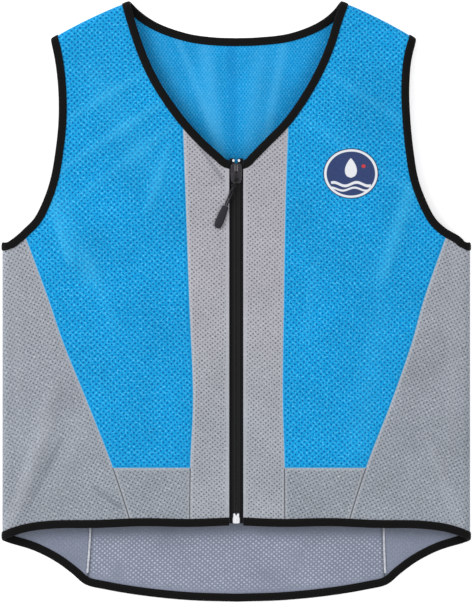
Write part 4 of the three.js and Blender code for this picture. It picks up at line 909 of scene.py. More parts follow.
paint = Paint("zip_tape_weave")
run, side = paint.mark("band", 0), paint.mark("band", 1)
ribs = (side * (TURN / 2.1) + 0.6).cos() * 0.5 + 0.5
picks = (run * (TURN / 1.3)).cos() * 0.5 + 0.5
middle = side.step(4.6, 3.4)
weave = paint.mix(middle, srgb(20, 20, 25), srgb(37, 39, 34))
weave = paint.mix(ribs * 0.8 + picks * 0.2, srgb(5, 6, 6), weave)
zip_cloth = paint.finish(weave, 0.8, ribs * 0.7 + picks * 0.3, 0.25, 0.8, Specular_IOR_Level=0.2)
cord_weave = ribbed("pull_cord_braid", srgb(26, 26, 30), srgb(72, 72, 80), 1.1, 1.2, depth=0.15)
thread = plain("black_thread", srgb(18, 17, 17), srgb(44, 41, 40), 0.7, Specular_IOR_Level=MATT)
grey_thread = plain("grey_thread", srgb(176, 180, 190), srgb(218, 220, 228), 0.7)
coil_nylon = plain("coil_nylon", srgb(20, 20, 21), srgb(46, 46, 48), 0.3)
black_metal = plain("black_lacquer", srgb(44, 42, 48), srgb(66, 63, 70), 0.3, 0.5, Coat_Weight=0.3)
black_enamel = plain("black_enamel", srgb(9, 9, 10), srgb(24, 23, 26), 0.35, Specular_IOR_Level=0.3)
spring_steel = plain("spring_steel", srgb(118, 120, 122), srgb(170, 172, 174), 0.3, 0.5)
# The nickel is near white and only a little metallic: its colour is partly painted reflection of the
# white room.
nickel_painted_reflection = plain("nickel_with_painted_reflection", srgb(232, 234, 237), srgb(252, 253, 255), 0.35, 0.3)
grip_rubber = plain(
    "grip_rubber", srgb(31, 31, 39), srgb(46, 46, 55), 0.6, scale=0.9, Specular_IOR_Level=0.25,
)
print("materials:", len(bpy.data.materials))

# %% [markdown]
# ## Cutting the panels
#
# A pattern piece lies between four edges. A Coons patch fills them with a grid: it blends the two
# long edges across, blends the two short edges down, adds both, and takes away the four corners
# that were counted twice. Cells are about 3.6 mm, and finer beside a seam, where the cloth dips
# into the needle line.

# %% Grids between four edges
SEAM_CELLS = np.array([0.4, 0.9, 1.5, 2.4, 3.8, 5.8])


def ladder(count, length, fine_start=False, fine_end=False):
    """Shares of a length: `count` even cells, and fine ones beside each end that is a seam."""
    start = SEAM_CELLS[-1] / length if fine_start else 0
    end = 1 - SEAM_CELLS[-1] / length if fine_end else 1
    shares = np.linspace(start, end, count + 1)
    if fine_start:
        shares = np.concatenate([[0], SEAM_CELLS[:-1] / length, shares])
    if fine_end:
        shares = np.concatenate([shares, 1 - SEAM_CELLS[-2::-1] / length, [1]])
    return shares


def stretch(edge, start, end, shares):
    """Places between two shares of an edge."""
    return edge.at(start + (end - start) * shares)


def straight(start, end, shares):
    """Places on a straight line."""
    return start + (end - start) * np.asarray(shares)[:, None]


def follow(parts, count, fine_start=False, fine_end=False):
    """Places along parts of edges that follow each other, with the cells shared out by length.

    A part is (edge, start, end). A cell always ends where one part meets the next.
    """
    lengths = np.array([edge.length * abs(end - start) for edge, start, end in parts])
    ends = np.round(np.concatenate([[0], np.cumsum(lengths)]) / lengths.sum() * count).astype(int)
    runs = []
    for k, (edge, start, end) in enumerate(parts):
        first, last = k == 0, k == len(parts) - 1
        shares = ladder(ends[k + 1] - ends[k], lengths[k], fine_start and first, fine_end and last)
        runs.append(stretch(edge, start, end, shares if first else shares[1:]))
    return np.vstack(runs)


def patch(top, bottom, left, right):
    """Coons patch: across blend plus down blend minus the blend of the corners."""
    u = ((walk(top)[1] + walk(bottom)[1]) / 2)[None, :, None]
    v = ((walk(left)[1] + walk(right)[1]) / 2)[:, None, None]
    top_corners, bottom_corners = (row[0] * (1 - u) + row[-1] * u for row in (top, bottom))
    corners = top_corners * (1 - v) + bottom_corners * v
    across = left[:, None] * (1 - u) + right[:, None] * u
    return across + top[None] * (1 - v) + bottom[None] * v - corners


PAIRS_AT_ONCE = 4_000_000


def distance_to(lines, flat):
    """Least distance from each flat place to the straight pieces of some polylines.

    away = off - t run, with t = (off . run) / (run . run) held between 0 and 1
    """
    points = flat.reshape(-1, 2)
    least = np.full(len(points), np.inf)
    for line in lines:
        a, run = line[:-1], np.diff(line, axis=0)
        parts = max(1, len(points) * len(a) // PAIRS_AT_ONCE)
        for part in np.array_split(np.arange(len(points)), parts):
            off = points[part, None] - a
            t = np.clip((off * run).sum(-1) / (run**2).sum(-1), 0, 1)
            away = np.linalg.norm(off - t[..., None] * run, axis=-1).min(1)
            least[part] = np.minimum(least[part], away)
    return least.reshape(flat.shape[:-1])


# %% [markdown]
# The panels' corners are where one edge meets another, so they are searched for and not typed in: a
# hem crosses a seam, an armhole reaches the side fold, a neckline reaches the shoulder seam.

# %% Where the edges meet
LATE = 0.6
SEAM_NAMES = ("centre_seam", "side_seam", "back_seam")


def meetings(side):
    """Shares at which the edges of one side start, cross and end."""
    c = edges[side]

    def shoulder(edge):
        """Share where the edge comes out of the shoulder fold."""
        return edge.where(lambda x, y: in_from_shoulder(x, y) + TAKE_UP - SEAM_GAP / 2, 0, 0.2)

    def fold(edge, low, high):
        """Share where the edge runs into the side fold."""
        return edge.where(lambda x, _: MIDDLE_X - np.abs(x) - QUARTER_TURN, low, high)

    def cross(hem, seam):
        """Shares of the hem and of the seam where the seam first falls below the hem."""
        tail = seam.at(np.linspace(LATE, 1, 3001))
        order = np.argsort(hem.xy[:, 0])
        above = tail[:, 1] - np.interp(tail[:, 0], hem.xy[order, 0], hem.xy[order, 1])
        on_seam = LATE + (1 - LATE) * np.argmax(above < 0) / (len(tail) - 1)
        x = seam.at(on_seam)[0]
        return hem.where(lambda u, _: u - x), on_seam

    return dict(
        neck=shoulder(c["neck"]),
        arm=shoulder(c["arm"]),
        back_neck=shoulder(c["back_neck"]),
        back_arm=shoulder(c["back_arm"]),
        neck_corner=c["neck"].at_y(c["centre_seam"].at(0)[1]),
        arm_corner=c["arm"].at_y(c["side_seam"].at(0)[1]),
        back_arm_corner=c["back_arm"].at_y(c["back_seam"].at(0)[1]),
        arm_fold=fold(c["arm"], LATE, 1),
        back_arm_fold=fold(c["back_arm"], LATE, 1),
        hem_fold=fold(c["hem"], LATE, 1),
        back_hem_fold=fold(c["back_hem"], 0, 1 - LATE),
        centre=cross(c["hem"], c["centre_seam"]),
        sideways=cross(c["hem"], c["side_seam"]),
        back=cross(c["back_hem"], c["back_seam"]),
        zip_start=c["hem"].where(lambda x, _: np.abs(x) - ZIP_HALF_WIDTH, 0, 0.3),
        insert=tuple(c[name].at_y(INSERT_Y) for name in SEAM_NAMES),
    )


meet = {side: meetings(side) for side in edges}
print("left meetings:", {k: np.round(v, 3).tolist() for k, v in meet[LEFT].items()})

# %% [markdown]
# A panel gets its thickness as it is sewn, not as one flat slab: the outer skin swells a little
# away from a seam and dips at the seam itself. Under the binding it stays flat, because the tape
# clamps it there. Beside the zip the edge is folded under, so it is a little thicker.

# %% Sewing a panel
SWELL_AT_SEAM = 6.0
SEAM_DIP, SEAM_DIP_WIDTH = 0.75, 1.5
BESIDE_BINDING = 5
FOLDED_RISE, FOLDED_WIDTH, FOLDED_SLOPE = 0.22, 3.4, 1.4
BROAD_FOLD_SHARE = 0.4
PALE_LINE = 1.1
SAME_SEAM = 0.05
FAR = 99.0


def flat_area(flat):
    """Area of a grid on the flat cloth: for each cell, half the cross product of its diagonals."""
    one, two = flat[1:, 1:] - flat[:-1, :-1], flat[1:, :-1] - flat[:-1, 1:]
    return np.abs(one[..., 0] * two[..., 1] - one[..., 1] * two[..., 0]).sum() / 2


def near_seam(flat, layer, front, back):
    """Distance to the nearest seam of a place's own layer, far away where a layer has none."""
    far = np.full(flat.shape[:2], FAR)
    in_front, behind = (distance_to(lines, flat) if lines else far for lines in (front, back))
    return np.where(layer == FRONT, in_front, behind)


def sewn(flat, layer, seams, back_seams, pale, back_pale, puff):
    """One grid as a closed wall, and the two marks that the shader reads at its points.

    swollen = puff * (1 - exp(-d / 6)) - 0.75 * exp(-(d / 1.5)^2), d = distance to the seam
    Where a pale seam is the nearest one, d is kept out of the needle line, so none is drawn dark.
    """
    x, y = flat[..., 0], flat[..., 1]
    edge = to_edge(x, y)
    seam = near_seam(flat, layer, seams, back_seams or seams)
    at_pale = near_seam(flat, layer, pale, back_pale) < seam + SAME_SEAM
    line = np.where(at_pale, np.maximum(seam, PALE_LINE), seam)
    folded = np.where(layer == FRONT, np.abs(x) - ZIP_HALF_WIDTH, FAR)
    dip = SEAM_DIP * np.exp(-((seam / SEAM_DIP_WIDTH) ** 2))
    swollen = puff * (1 - np.exp(-seam / SWELL_AT_SEAM)) - dip
    swollen = swollen + FOLDED_RISE * (1 - smooth((folded - FOLDED_WIDTH) / FOLDED_SLOPE))
    free = smooth((edge - BINDING_WIDTH) / BESIDE_BINDING)
    high = CLOTH / 2 + free * swollen
    skin, quads, inside = wall(lay(x, y, layer), facing(x, y, layer), high, -CLOTH / 2)
    # The third part of the cloth mark is the height of the folds, which the shader turns into painted
    # highlight on ridges and painted shade in creases.
    front, back = (
        soft_folds(broad, x, y) * BROAD_FOLD_SHARE + soft_folds(fine, x, y)
        for broad, fine in ((FRONT_FOLDS, FRONT_STREAKS), (BACK_FOLDS, BACK_STREAKS))
    )
    cloth_mark = np.stack([x, y, np.where(layer == FRONT, front, back)], -1).reshape(-1, 3)
    seam_mark = np.stack([line, edge, folded], -1).reshape(-1, 3)
    return skin, quads, inside, np.tile(cloth_mark, (2, 1)), np.tile(seam_mark, (2, 1))


def panel(
    name, grids, seams, outer, inner, replaces, puff,
    weld_at=None, back_seams=(), pale=(), back_pale=(),
):
    """A closed cloth piece over one or two grids of (flat places, layer), welded where x is weld_at.

    A side panel lies in both layers, so a place there counts only the seams of its own layer.
    """
    parts, count = [], 0
    for flat, layer in grids:
        skin, quads, inside, *marks = sewn(flat, layer, seams, back_seams, pale, back_pale, puff)
        if weld_at is not None:
            rim = np.abs(skin[quads][..., 0] - weld_at).max(1) < 1e-6
            quads, inside = quads[~rim], inside[~rim]
        parts.append((skin, quads + count, inside, *marks))
        count += len(skin)
    points, faces, skins, marks, seam_marks = (np.concatenate(group) for group in zip(*parts))
    if weld_at is not None:
        rounded_points = np.round(points, 3)
        _, first, where = np.unique(rounded_points, axis=0, return_index=True, return_inverse=True)
        faces = where.ravel()[faces]
        points, marks, seam_marks = points[first], marks[first], seam_marks[first]
    marks = {"cloth": marks, "seam": seam_marks}
    made = piece(name, points, [faces], [outer, inner], replaces, skins, marks, sharp=60)
    area = sum(flat_area(flat) for flat, _ in grids) * MM * MM
    return made


# %% [markdown]
# The blue panels are the largest pieces of the front. Each one reaches from the seam on the
# shoulder to the cross seam above the hem, between the strip beside the zip and the side panel. Its
# grid follows the neckline and then the seam on one side, the armhole and then the seam on the
# other.

# %% Blue chest panels
ROWS_LONG = 150
COLUMNS_BLUE = 44
PUFF = 0.25
CLOTHS = {LEFT: (blue_left, grey_left), RIGHT: (blue_right, grey_right)}


def blue_seam(side, k):
    """The part of a seam where blue meets grey: from its top down to the cross seam."""
    return stretch(edges[side][SEAM_NAMES[k]], 0, meet[side]["insert"][k], ladder(120, 1))


def blue_rim(side, edge, corner, k):
    """A long side of a blue panel: the end of a bound edge, then a seam down to the cross seam."""
    c, m = edges[side], meet[side]
    parts = [(c[edge], m[edge], m[corner]), (c[SEAM_NAMES[k]], 0, m["insert"][k])]
    return follow(parts, ROWS_LONG, False, True)


def shoulder_row(side, start, end, shares):
    """The shoulder seam on the flat cloth: the shoulder line, pushed out by the fold's take-up."""
    row = straight(start, end, shares)
    push = (TAKE_UP - SEAM_GAP / 2) / np.cos(slope[0 if side == LEFT else 1])
    row[1:-1, 1] = shoulder_y(row[1:-1, 0]) + push
    return row


for side, word in SIDES.items():
    inner, outer = blue_rim(side, "neck", "neck_corner", 0), blue_rim(side, "arm", "arm_corner", 1)
    shares = ladder(COLUMNS_BLUE, abs(outer[60, 0] - inner[60, 0]), True, True)
    bottom = straight(inner[-1], outer[-1], shares)
    flat = patch(shoulder_row(side, inner[0], outer[0], shares), bottom, inner, outer)
    seams = [blue_seam(side, 0), bottom, blue_seam(side, 1)]
    panel(
        f"cloth_chest_{word}", [(flat, FRONT)], seams, CLOTHS[side][0], blue_inside,
        [f"front_panel_{word}"], PUFF,
    )

# %% [markdown]
# Grey cloth takes the narrow places of the front: a strip beside the zip, and an insert that ends
# the front below the blue panel.

# %% Grey strips beside the zip, and the inserts under the chest
for side, word in SIDES.items():
    c, m = edges[side], meet[side]
    shares, down = ladder(12, 47, False, True), ladder(130, 450)
    top = stretch(c["neck"], 1, m["neck_corner"], shares)
    bottom = stretch(c["hem"], m["zip_start"], m["centre"][0], shares)
    outer = stretch(c["centre_seam"], 0, m["centre"][1], down)
    flat = patch(top, bottom, straight(top[0], bottom[0], down), outer)
    panel(
        f"cloth_strip_{word}", [(flat, FRONT)], [outer], grey_strip, grey_inside,
        [f"centre_strip_{word}"], 0.15, pale=[blue_seam(side, 0)],
    )
    shares, down = ladder(22, 90, True, True), ladder(16, 69, True, False)
    inner = stretch(c["centre_seam"], m["insert"][0], m["centre"][1], down)
    outer = stretch(c["side_seam"], m["insert"][1], m["sideways"][1], down)
    top = straight(inner[0], outer[0], shares)
    flat = patch(top, stretch(c["hem"], m["centre"][0], m["sideways"][0], shares), inner, outer)
    panel(
        f"cloth_insert_{word}", [(flat, FRONT)], [inner, outer, top], CLOTHS[side][1], grey_inside,
        [f"hem_insert_{word}"], PUFF, pale=[top],
    )

# %% [markdown]
# The side panel is one piece of cloth that runs from the seam in front, round the side fold, to the
# seam in the back. So its grid runs straight through both layers, and the fold needs no seam of its
# own.


# %% Side panels
ROWS_SIDE, FOLD_CELLS = 110, 7


def half_side(side, names, arm_shares, hem_shares, seam_end, columns):
    """Grid of one layer, from its seam to the middle of the side fold: a flat patch, then a bend."""
    arm, hem, seam = (edges[side][name] for name in names)
    down, across = ladder(ROWS_SIDE, 380), ladder(columns, 110, True, False)
    turn = np.linspace(0, 1, FOLD_CELLS + 1)
    seam_line = stretch(seam, 0, seam_end, down)
    flat_line, middle = (straight(arm.at(arm_shares[k]), hem.at(hem_shares[k]), down) for k in (1, 2))
    top, bottom = stretch(arm, *arm_shares[:2], across), stretch(hem, *hem_shares[:2], across)
    flat_part = patch(top, bottom, seam_line, flat_line)
    top, bottom = stretch(arm, *arm_shares[1:], turn), stretch(hem, *hem_shares[1:], turn)
    bend = patch(top, bottom, flat_line, middle)
    return np.concatenate([flat_part, bend[:, 1:]], 1), seam_line


for side, word in SIDES.items():
    m = meet[side]
    front, front_seam = half_side(
        side, ("arm", "hem", "side_seam"), (m["arm_corner"], m["arm_fold"], 1),
        (m["sideways"][0], m["hem_fold"], 1), m["sideways"][1], 34,
    )
    back, back_seam = half_side(
        side, ("back_arm", "back_hem", "back_seam"), (m["back_arm_corner"], m["back_arm_fold"], 1),
        (m["back"][0], m["back_hem_fold"], 0), m["back"][1], 24,
    )
    flat = np.concatenate([front, back[:, -2::-1]], 1)
    layer = np.concatenate([np.full(front.shape[1], FRONT), np.full(back.shape[1] - 1, BACK)])
    layer = np.broadcast_to(layer, flat.shape[:2])
    made = panel(
        f"cloth_side_{word}", [(flat, layer)], [front_seam], CLOTHS[side][1], side_inside,
        [f"side_panel_{word}"], PUFF, None, [back_seam],
        [blue_seam(side, 1)], [blue_seam(side, 2)],
    )
    wide = np.ptp(front[..., 0]) + np.ptp(back[..., 0])
    area = (flat_area(front) + flat_area(back)) * MM * MM
    wide * MM

# %% [markdown]
# The back is one blue piece. It is drawn as two halves, since each half has its own shoulder and
# armhole, and the halves are welded down the middle. The grey tail hangs below it. Its lower edge
# is the back hem, both sides in one run.

# %% Blue back and grey tail
halves, back_seams = [], []
for side in SIDES:
    c, m = edges[side], meet[side]
    neck_length = c["back_neck"].length * (1 - m["back_neck"])
    drop = c["back_neck"].at(1)[1] - INSERT_Y
    neck_cells = round(ROWS_LONG * neck_length / (neck_length + drop))
    neck_rows = stretch(c["back_neck"], m["back_neck"], 1, ladder(neck_cells, neck_length))
    neck_rows[-1, 0] = 0
    down = ladder(ROWS_LONG - neck_cells, drop, False, True)
    centre_rows = straight(neck_rows[-1], np.array([0.0, INSERT_Y]), down)
    inner = np.vstack([neck_rows, centre_rows[1:]])
    outer = blue_rim(side, "back_arm", "back_arm_corner", 2)
    shares = ladder(COLUMNS_BLUE, 200, False, True)
    bottom = straight(inner[-1], outer[-1], shares)
    flat = patch(shoulder_row(side, inner[0], outer[0], shares), bottom, inner, outer)
    halves.append((flat, BACK))
    back_seams += [bottom, blue_seam(side, 2)]
panel(
    "cloth_back", halves, back_seams, blue_left, blue_inside, ["back_panel"], 0, weld_at=0,
)

shares, down = ladder(84, 350, True, True), ladder(34, 128, True, False)
even = np.linspace(0, 1, 200)
rims = [stretch(edges[s]["back_seam"], meet[s]["insert"][2], meet[s]["back"][1], down) for s in SIDES]
top = straight(rims[0][0], rims[1][0], shares)
hem_line = np.vstack([
    stretch(edges[LEFT]["back_hem"], meet[LEFT]["back"][0], 1, even),
    stretch(edges[RIGHT]["back_hem"], 1, meet[RIGHT]["back"][0], even)[1:],
])
flat = patch(top, read_run(shares, walk(hem_line)[1], hem_line), *rims)
panel(
    "cloth_tail", [(flat, BACK)], [*rims, top], grey_strip, grey_inside,
    ["tail_panel"], 0,
)

# %% [markdown]
# ## Binding the edges
#
# The stretch tape is folded over the raw edge and sewn through. Its section is a soft channel: two
# legs over the cloth, a rounded back outside the edge. The section is carried along the edge. At
# each step its corners are moved in from the edge on the flat cloth, laid like the cloth, and
# pushed out along the cloth's own direction, so the tape hugs the panels round the neck, the
# armholes and the folds.


# %% The tape's section: past the cloth's edge, off the middle of the cloth
TAPE_BACK = 2.0


def tape_section():
    """Outside: a leg with a soft edge, a half-round back, a leg. Inside: a straight slot."""
    turn = np.linspace(np.pi / 2, -np.pi / 2, 9)
    past = BINDING_GAP + BINDING_TAPE - TAPE_BACK + TAPE_BACK * np.cos(turn)
    back = np.stack([past, BINDING_HALF * np.sin(turn)], -1)
    rim = BINDING_GAP + BINDING_TAPE - BINDING_WIDTH
    slot = CLOTH / 2 + BINDING_GAP
    crown = np.array([[-6.4, 0.2], [-4.2, 0.3], [-2.6, 0.25]]) + [0, BINDING_HALF]
    upper = np.vstack([[rim, slot + 0.3], [rim + 0.4, BINDING_HALF - 0.05], crown])
    inside = [[rim + 0.1, -slot], [BINDING_GAP, -slot], [BINDING_GAP, slot], [rim + 0.1, slot]]
    return np.vstack([upper, back, upper[::-1] * [1, -1], inside])


SECTION = tape_section()
NUDGE = 0.05
TAPE_CELL = 2.6


def into_fold(x, y):
    """How far a flat place is past the flat part of its layer, and the way out of the nearest fold."""
    from_side, from_shoulder = MIDDLE_X - np.abs(x), in_from_shoulder(x, y) + TAKE_UP
    past = np.maximum(0, QUARTER_TURN - np.minimum(from_side, from_shoulder))
    return past, np.stack(outwards(x, from_side, from_shoulder), -1)


def way_out(xy, layer, hand, closed):
    """Unit way on the flat cloth that points out of the panel, square to the edge where it lies.

    The way in space is the cross product of the edge's run and the cloth's own direction. Its
    products with the slopes of the laid cloth along x and y bring it back to the flat cloth. In a
    fold the edge runs straight out, so the way there is square to the way out of the fold.
    """
    points = lay(*xy.T, layer)
    before, after = np.roll(points, 1, 0), np.roll(points, -1, 0)
    if not closed:
        before[0], after[-1] = points[0], points[-1]
    past = np.cross(after - before, facing(*xy.T, layer))
    nudges = ((NUDGE, 0), (0, NUDGE))
    slopes = [lay(*(xy + d).T, layer) - lay(*(xy - d).T, layer) for d in nudges]
    way = np.stack([(past * s).sum(-1) for s in slopes], -1)
    way *= hand / np.linalg.norm(way, axis=-1, keepdims=True)
    depth, out = into_fold(*xy.T)
    fold_way = np.stack([-out[:, 1], out[:, 0]], -1)
    fold_way *= np.sign((fold_way * way).sum(-1, keepdims=True))
    return np.where(depth[:, None] > 0, fold_way, way)


def band(name, xy, layer, hand, closed, replaces):
    """The tape along a run of edge places: the section's corners laid beside each place.

    At the zip it is cut straight, so an end's corners slide along the edge to one distance out.
    """
    way = way_out(xy, layer, hand, closed)
    beside = xy[:, None] + way[:, None] * SECTION[:, 0, None]
    for end in () if closed else (0, -1):
        inwards = np.array([way[end, 1], -way[end, 0]])
        inwards *= -np.sign(inwards[0] * xy[end, 0])
        slide = (np.abs(beside[end, :, 0]) - ZIP_HALF_WIDTH + 0.12) / abs(inwards[0])
        beside[end] += slide[:, None] * inwards
    layers = np.repeat(layer[:, None], len(SECTION), 1)
    x, y = beside[..., 0], beside[..., 1]
    rings = lay(x, y, layers) + facing(x, y, layers) * SECTION[:, 1, None]
    points, faces = tube(rings, closed)
    run = walked(xy)
    marks = np.stack(np.broadcast_arrays(run[:, None], walked(SECTION), 0.0), -1).reshape(-1, 3)
    marks = {"band": marks}
    piece(name, points, faces, [binding_tape], replaces, None, marks, sharp=50)
    print(name, len(faces[0]), "faces, tape", round(run[-1]), "mm")


def edge_run(side, *parts):
    """Places along parts of edges, and their layers. A part is (edge, start, end, layer)."""
    places, layers = [], []
    for name, start, end, layer in parts:
        edge = edges[side][name]
        count = max(3, round(edge.length * abs(end - start) / TAPE_CELL))
        xy = stretch(edge, start, end, np.linspace(0, 1, count + 1))[1 if places else 0:]
        places.append(xy)
        layers.append(np.full(len(xy), layer))
    return np.vstack(places), np.concatenate(layers)


def bridged(left, right):
    """The left side's run, then the right side's turned round. They share their last place."""
    return np.vstack([left[0], right[0][-2::-1]]), np.concatenate([left[1], right[1][-2::-1]])


# %% [markdown]
# One tape goes round the neck from zip to zip, one round each armhole with its ends joined, and one
# along the hem from zip to zip. At the shoulders and the side folds a tape passes from the front
# layer into the back one.


# %% The four bindings
neck_run = bridged(*(edge_run(s, ("neck", 1, 0, FRONT), ("back_neck", 0, 1, BACK)) for s in SIDES))
band("binding_neck", *neck_run, 1, False, ["neck_binding"])
arm_runs = {}
for side, word in SIDES.items():
    run, layer = edge_run(side, ("arm", 0, 1, FRONT), ("back_arm", 1, 0, BACK))
    arm_runs[side] = run[:-1], layer[:-1]
    band(f"binding_armhole_{word}", *arm_runs[side], -side, True, [f"armhole_binding_{word}"])
hem_run = bridged(*(
    edge_run(s, ("hem", meet[s]["zip_start"], 1, FRONT), ("back_hem", 0, 1, BACK)) for s in SIDES
))
band("binding_hem", *hem_run, -1, False, ["hem_binding"])

# %% [markdown]
# Two rows of thread hold the tape down, near its inner edge on each face. A stitch is a tiny
# rounded bar. There are more than a thousand, so all stitches of a row are one mesh, and each has
# only a few faces.


# %% Stitches
STITCH_IN, STITCH_OFF, STITCH_LONG = -6.9, 0.12, 2.2
ZIP_STITCH_IN, ZIP_STITCH_OFF = -5.2, 1.16
ONE_STITCH = np.array([
    [0, 1, 5, 4], [1, 2, 6, 5], [2, 3, 7, 6], [3, 0, 4, 7], [4, 5, 9, 8], [5, 6, 10, 9],
    [6, 7, 11, 10], [7, 4, 8, 11], [3, 2, 1, 0], [8, 9, 10, 11],
])


def stitches(name, xy, layer, hand, closed, off, past, gap=1.4, radius=0.28, yarn=thread):
    """Bars along a run: three rings of four points each, thin, thick, thin.

    point = place + way out * (past + radius cos a), laid and lifted by off + radius sin a
    """
    way, sums = way_out(xy, layer, hand, closed), walked(xy)
    starts = np.arange(2, sums[-1] - STITCH_LONG - 2, STITCH_LONG + gap)
    at = starts[:, None] + np.array([0, 0.5, 1]) * STITCH_LONG
    place, side = read_run(at, sums, xy + way * past), read_run(at, sums, way)
    which = layer[np.clip(np.searchsorted(sums, at), 0, len(layer) - 1)]
    turn = np.arange(4) * np.pi / 2
    size = np.array([0.5, 1, 0.5])[None, :, None] * radius
    beside = place[:, :, None] + side[:, :, None] * (np.cos(turn) * size)[..., None]
    rise = off + np.sign(off) * (np.sin(turn) * size)
    layers = np.repeat(which[..., None], 4, 2)
    x, y = beside[..., 0], beside[..., 1]
    points = (lay(x, y, layers) + facing(x, y, layers) * rise[..., None]).reshape(-1, 3)
    faces = (ONE_STITCH + 12 * np.arange(len(starts))[:, None, None]).reshape(-1, 4)
    piece(name, points, [faces], [yarn], sharp=80)
    return len(starts)


total = 0
for name, run, hand, closed in (
    ("neck", neck_run, 1, False), ("armhole_left", arm_runs[LEFT], 1, True),
    ("armhole_right", arm_runs[RIGHT], -1, True), ("hem", hem_run, -1, False),
):
    for face, off in (("out", BINDING_HALF + STITCH_OFF), ("in", -BINDING_HALF - STITCH_OFF)):
        total += stitches(f"stitches_{name}_{face}", *run, hand, closed, off, STITCH_IN)
for side, word in SIDES.items():
    top, bottom = edges[side]["neck"].at(1), edges[side]["hem"].at(meet[side]["zip_start"])
    margin = (top - bottom) / np.linalg.norm(top - bottom) * (BINDING_WIDTH + 1)
    line = straight(top - margin, bottom + margin, np.linspace(0, 1, 120))
    layer = np.full(len(line), FRONT)
    total += stitches(
        f"stitches_zip_{word}", line, layer, side, False, ZIP_STITCH_OFF, ZIP_STITCH_IN, 1.6, 0.3,
        grey_thread,
    )
print("stitches:", total)

# %% [markdown]
# ## Seam edges inside the back
#
# Where the tail shows, the seams of the side panels turn their trimmed, overlocked edge to the
# inside. It is a low rope of thread: a flat tube whose width beats in small waves, one for each
# pass of the looper.

# %% Overlocked seam edges
LOOPER_PASS, LOOPER_BEAT = 2.8, 0.12
ROPE_WIDE, ROPE_HIGH, ROPE_OFF, ROPE_CELL = 1.3, 0.5, 0.55, 0.9
ROPE_END = 0.03
ring = np.linspace(0, TURN, 9)[:-1]
for side, word in SIDES.items():
    seam = edges[side]["back_seam"]
    run = np.linspace(ROPE_END, meet[side]["back"][1] - ROPE_END, round(seam.length / ROPE_CELL))
    spine = seam.at(run)
    beat = 1 + LOOPER_BEAT * np.cos(run * seam.length * TURN / LOOPER_PASS)[:, None]
    x = spine[:, :1] + side + ROPE_WIDE * np.cos(ring) * beat
    y = np.broadcast_to(spine[:, 1:], x.shape)
    layer = np.full(x.shape, BACK)
    rise = -CLOTH / 2 - CLEARANCE - ROPE_OFF + ROPE_HIGH * np.sin(ring) * beat
    points, faces = tube(lay(x, y, layer) + facing(x, y, layer) * rise[..., None])
    piece(f"overlock_{word}", points, faces, [grey_thread], [f"seam_edge_{word}"])
print("overlocked edges:", [round(edges[side]["back_seam"].length) for side in SIDES], "mm long")

# %% [markdown]
# ## The zip
#
# It is a coil zip sewn in with its coils to the inside, so from the front only the two tapes show,
# with a fine line where they meet. Each coil is one nylon spiral. Its turns are wider than they are
# high, and there is one turn for every 1.3 mm.

# %% Zip sizes
neck_end_y = edges[LEFT]["neck"].at(1)[1]
zip_top_y = neck_end_y + 3.6
slider_y = zip_top_y - 6
SLIDER_LONG = 24
tuck_top_y = neck_end_y - BINDING_WIDTH - 4
box_bottom_y = FRONT_HEM_Y + 1.5
box_top_y = box_bottom_y + 12
tuck_bottom_y = box_top_y + CLEARANCE + 2
post_end_y = slider_y - SLIDER_LONG * 0.35
TAPE_UP, TAPE_DOWN = -CLOTH / 2 - CLEARANCE, -CLOTH / 2 - CLEARANCE - 0.8
COIL_MIDDLE = TAPE_DOWN - CLEARANCE - 0.7
slider_level = lay(np.array([0.0]), np.array([slider_y]), FRONT)[0, 2]
free_edge = ZIP_HALF_WIDTH - CLEARANCE


def near_centre(x, y):
    """Points and normals of the front cloth's middle, for pieces that lie on it or under it."""
    layer = np.full(x.shape, FRONT)
    return lay(x, y, layer), facing(x, y, layer)


# %% [markdown]
# A tape is a thin wall whose inner and outer edge change with the height: it makes room for the box
# at its foot and for the slider at its top, and it is tucked under the strip in between. A low roll
# along its inner edge and waves across it are its woven ribs.

# %% Tapes and coils
TUCKED, SLIM, BESIDE_BOX = 13, 8.35, 4.4
EDGE_ROLL, ROLL_WIDTH, RIB, RIB_SPACING = 0.35, 0.7, 0.22, 4.2
levels = np.array([
    (box_bottom_y, BESIDE_BOX, free_edge), (box_top_y + 0.3, BESIDE_BOX, free_edge),
    (box_top_y + 0.8, 0.15, free_edge), (tuck_bottom_y, 0.15, free_edge),
    (tuck_bottom_y + 1, 0.15, TUCKED), (tuck_top_y - 1, 0.15, TUCKED),
    (tuck_top_y, 0.15, SLIM), (post_end_y - 2, 0.15, SLIM),
    (post_end_y - 1, 2.0, SLIM), (zip_top_y, 2.0, SLIM),
])
rows = np.union1d(np.linspace(box_bottom_y, zip_top_y, 240), levels[:, 0])[::-1]
low, high = (np.interp(rows, levels[:, 0], levels[:, k])[:, None] for k in (1, 2))
tape_x = low + (high - low) * np.linspace(0, 1, 15)
tape_y = np.broadcast_to(rows[:, None], tape_x.shape)
roll = -EDGE_ROLL * np.exp(-(((tape_x - low) / ROLL_WIDTH) ** 2))
roll = roll + RIB * np.sin(tape_x * TURN / RIB_SPACING + 0.8)
marks = {"band": np.tile(np.stack([tape_y, tape_x, 0 * tape_x], -1).reshape(-1, 3), (2, 1))}

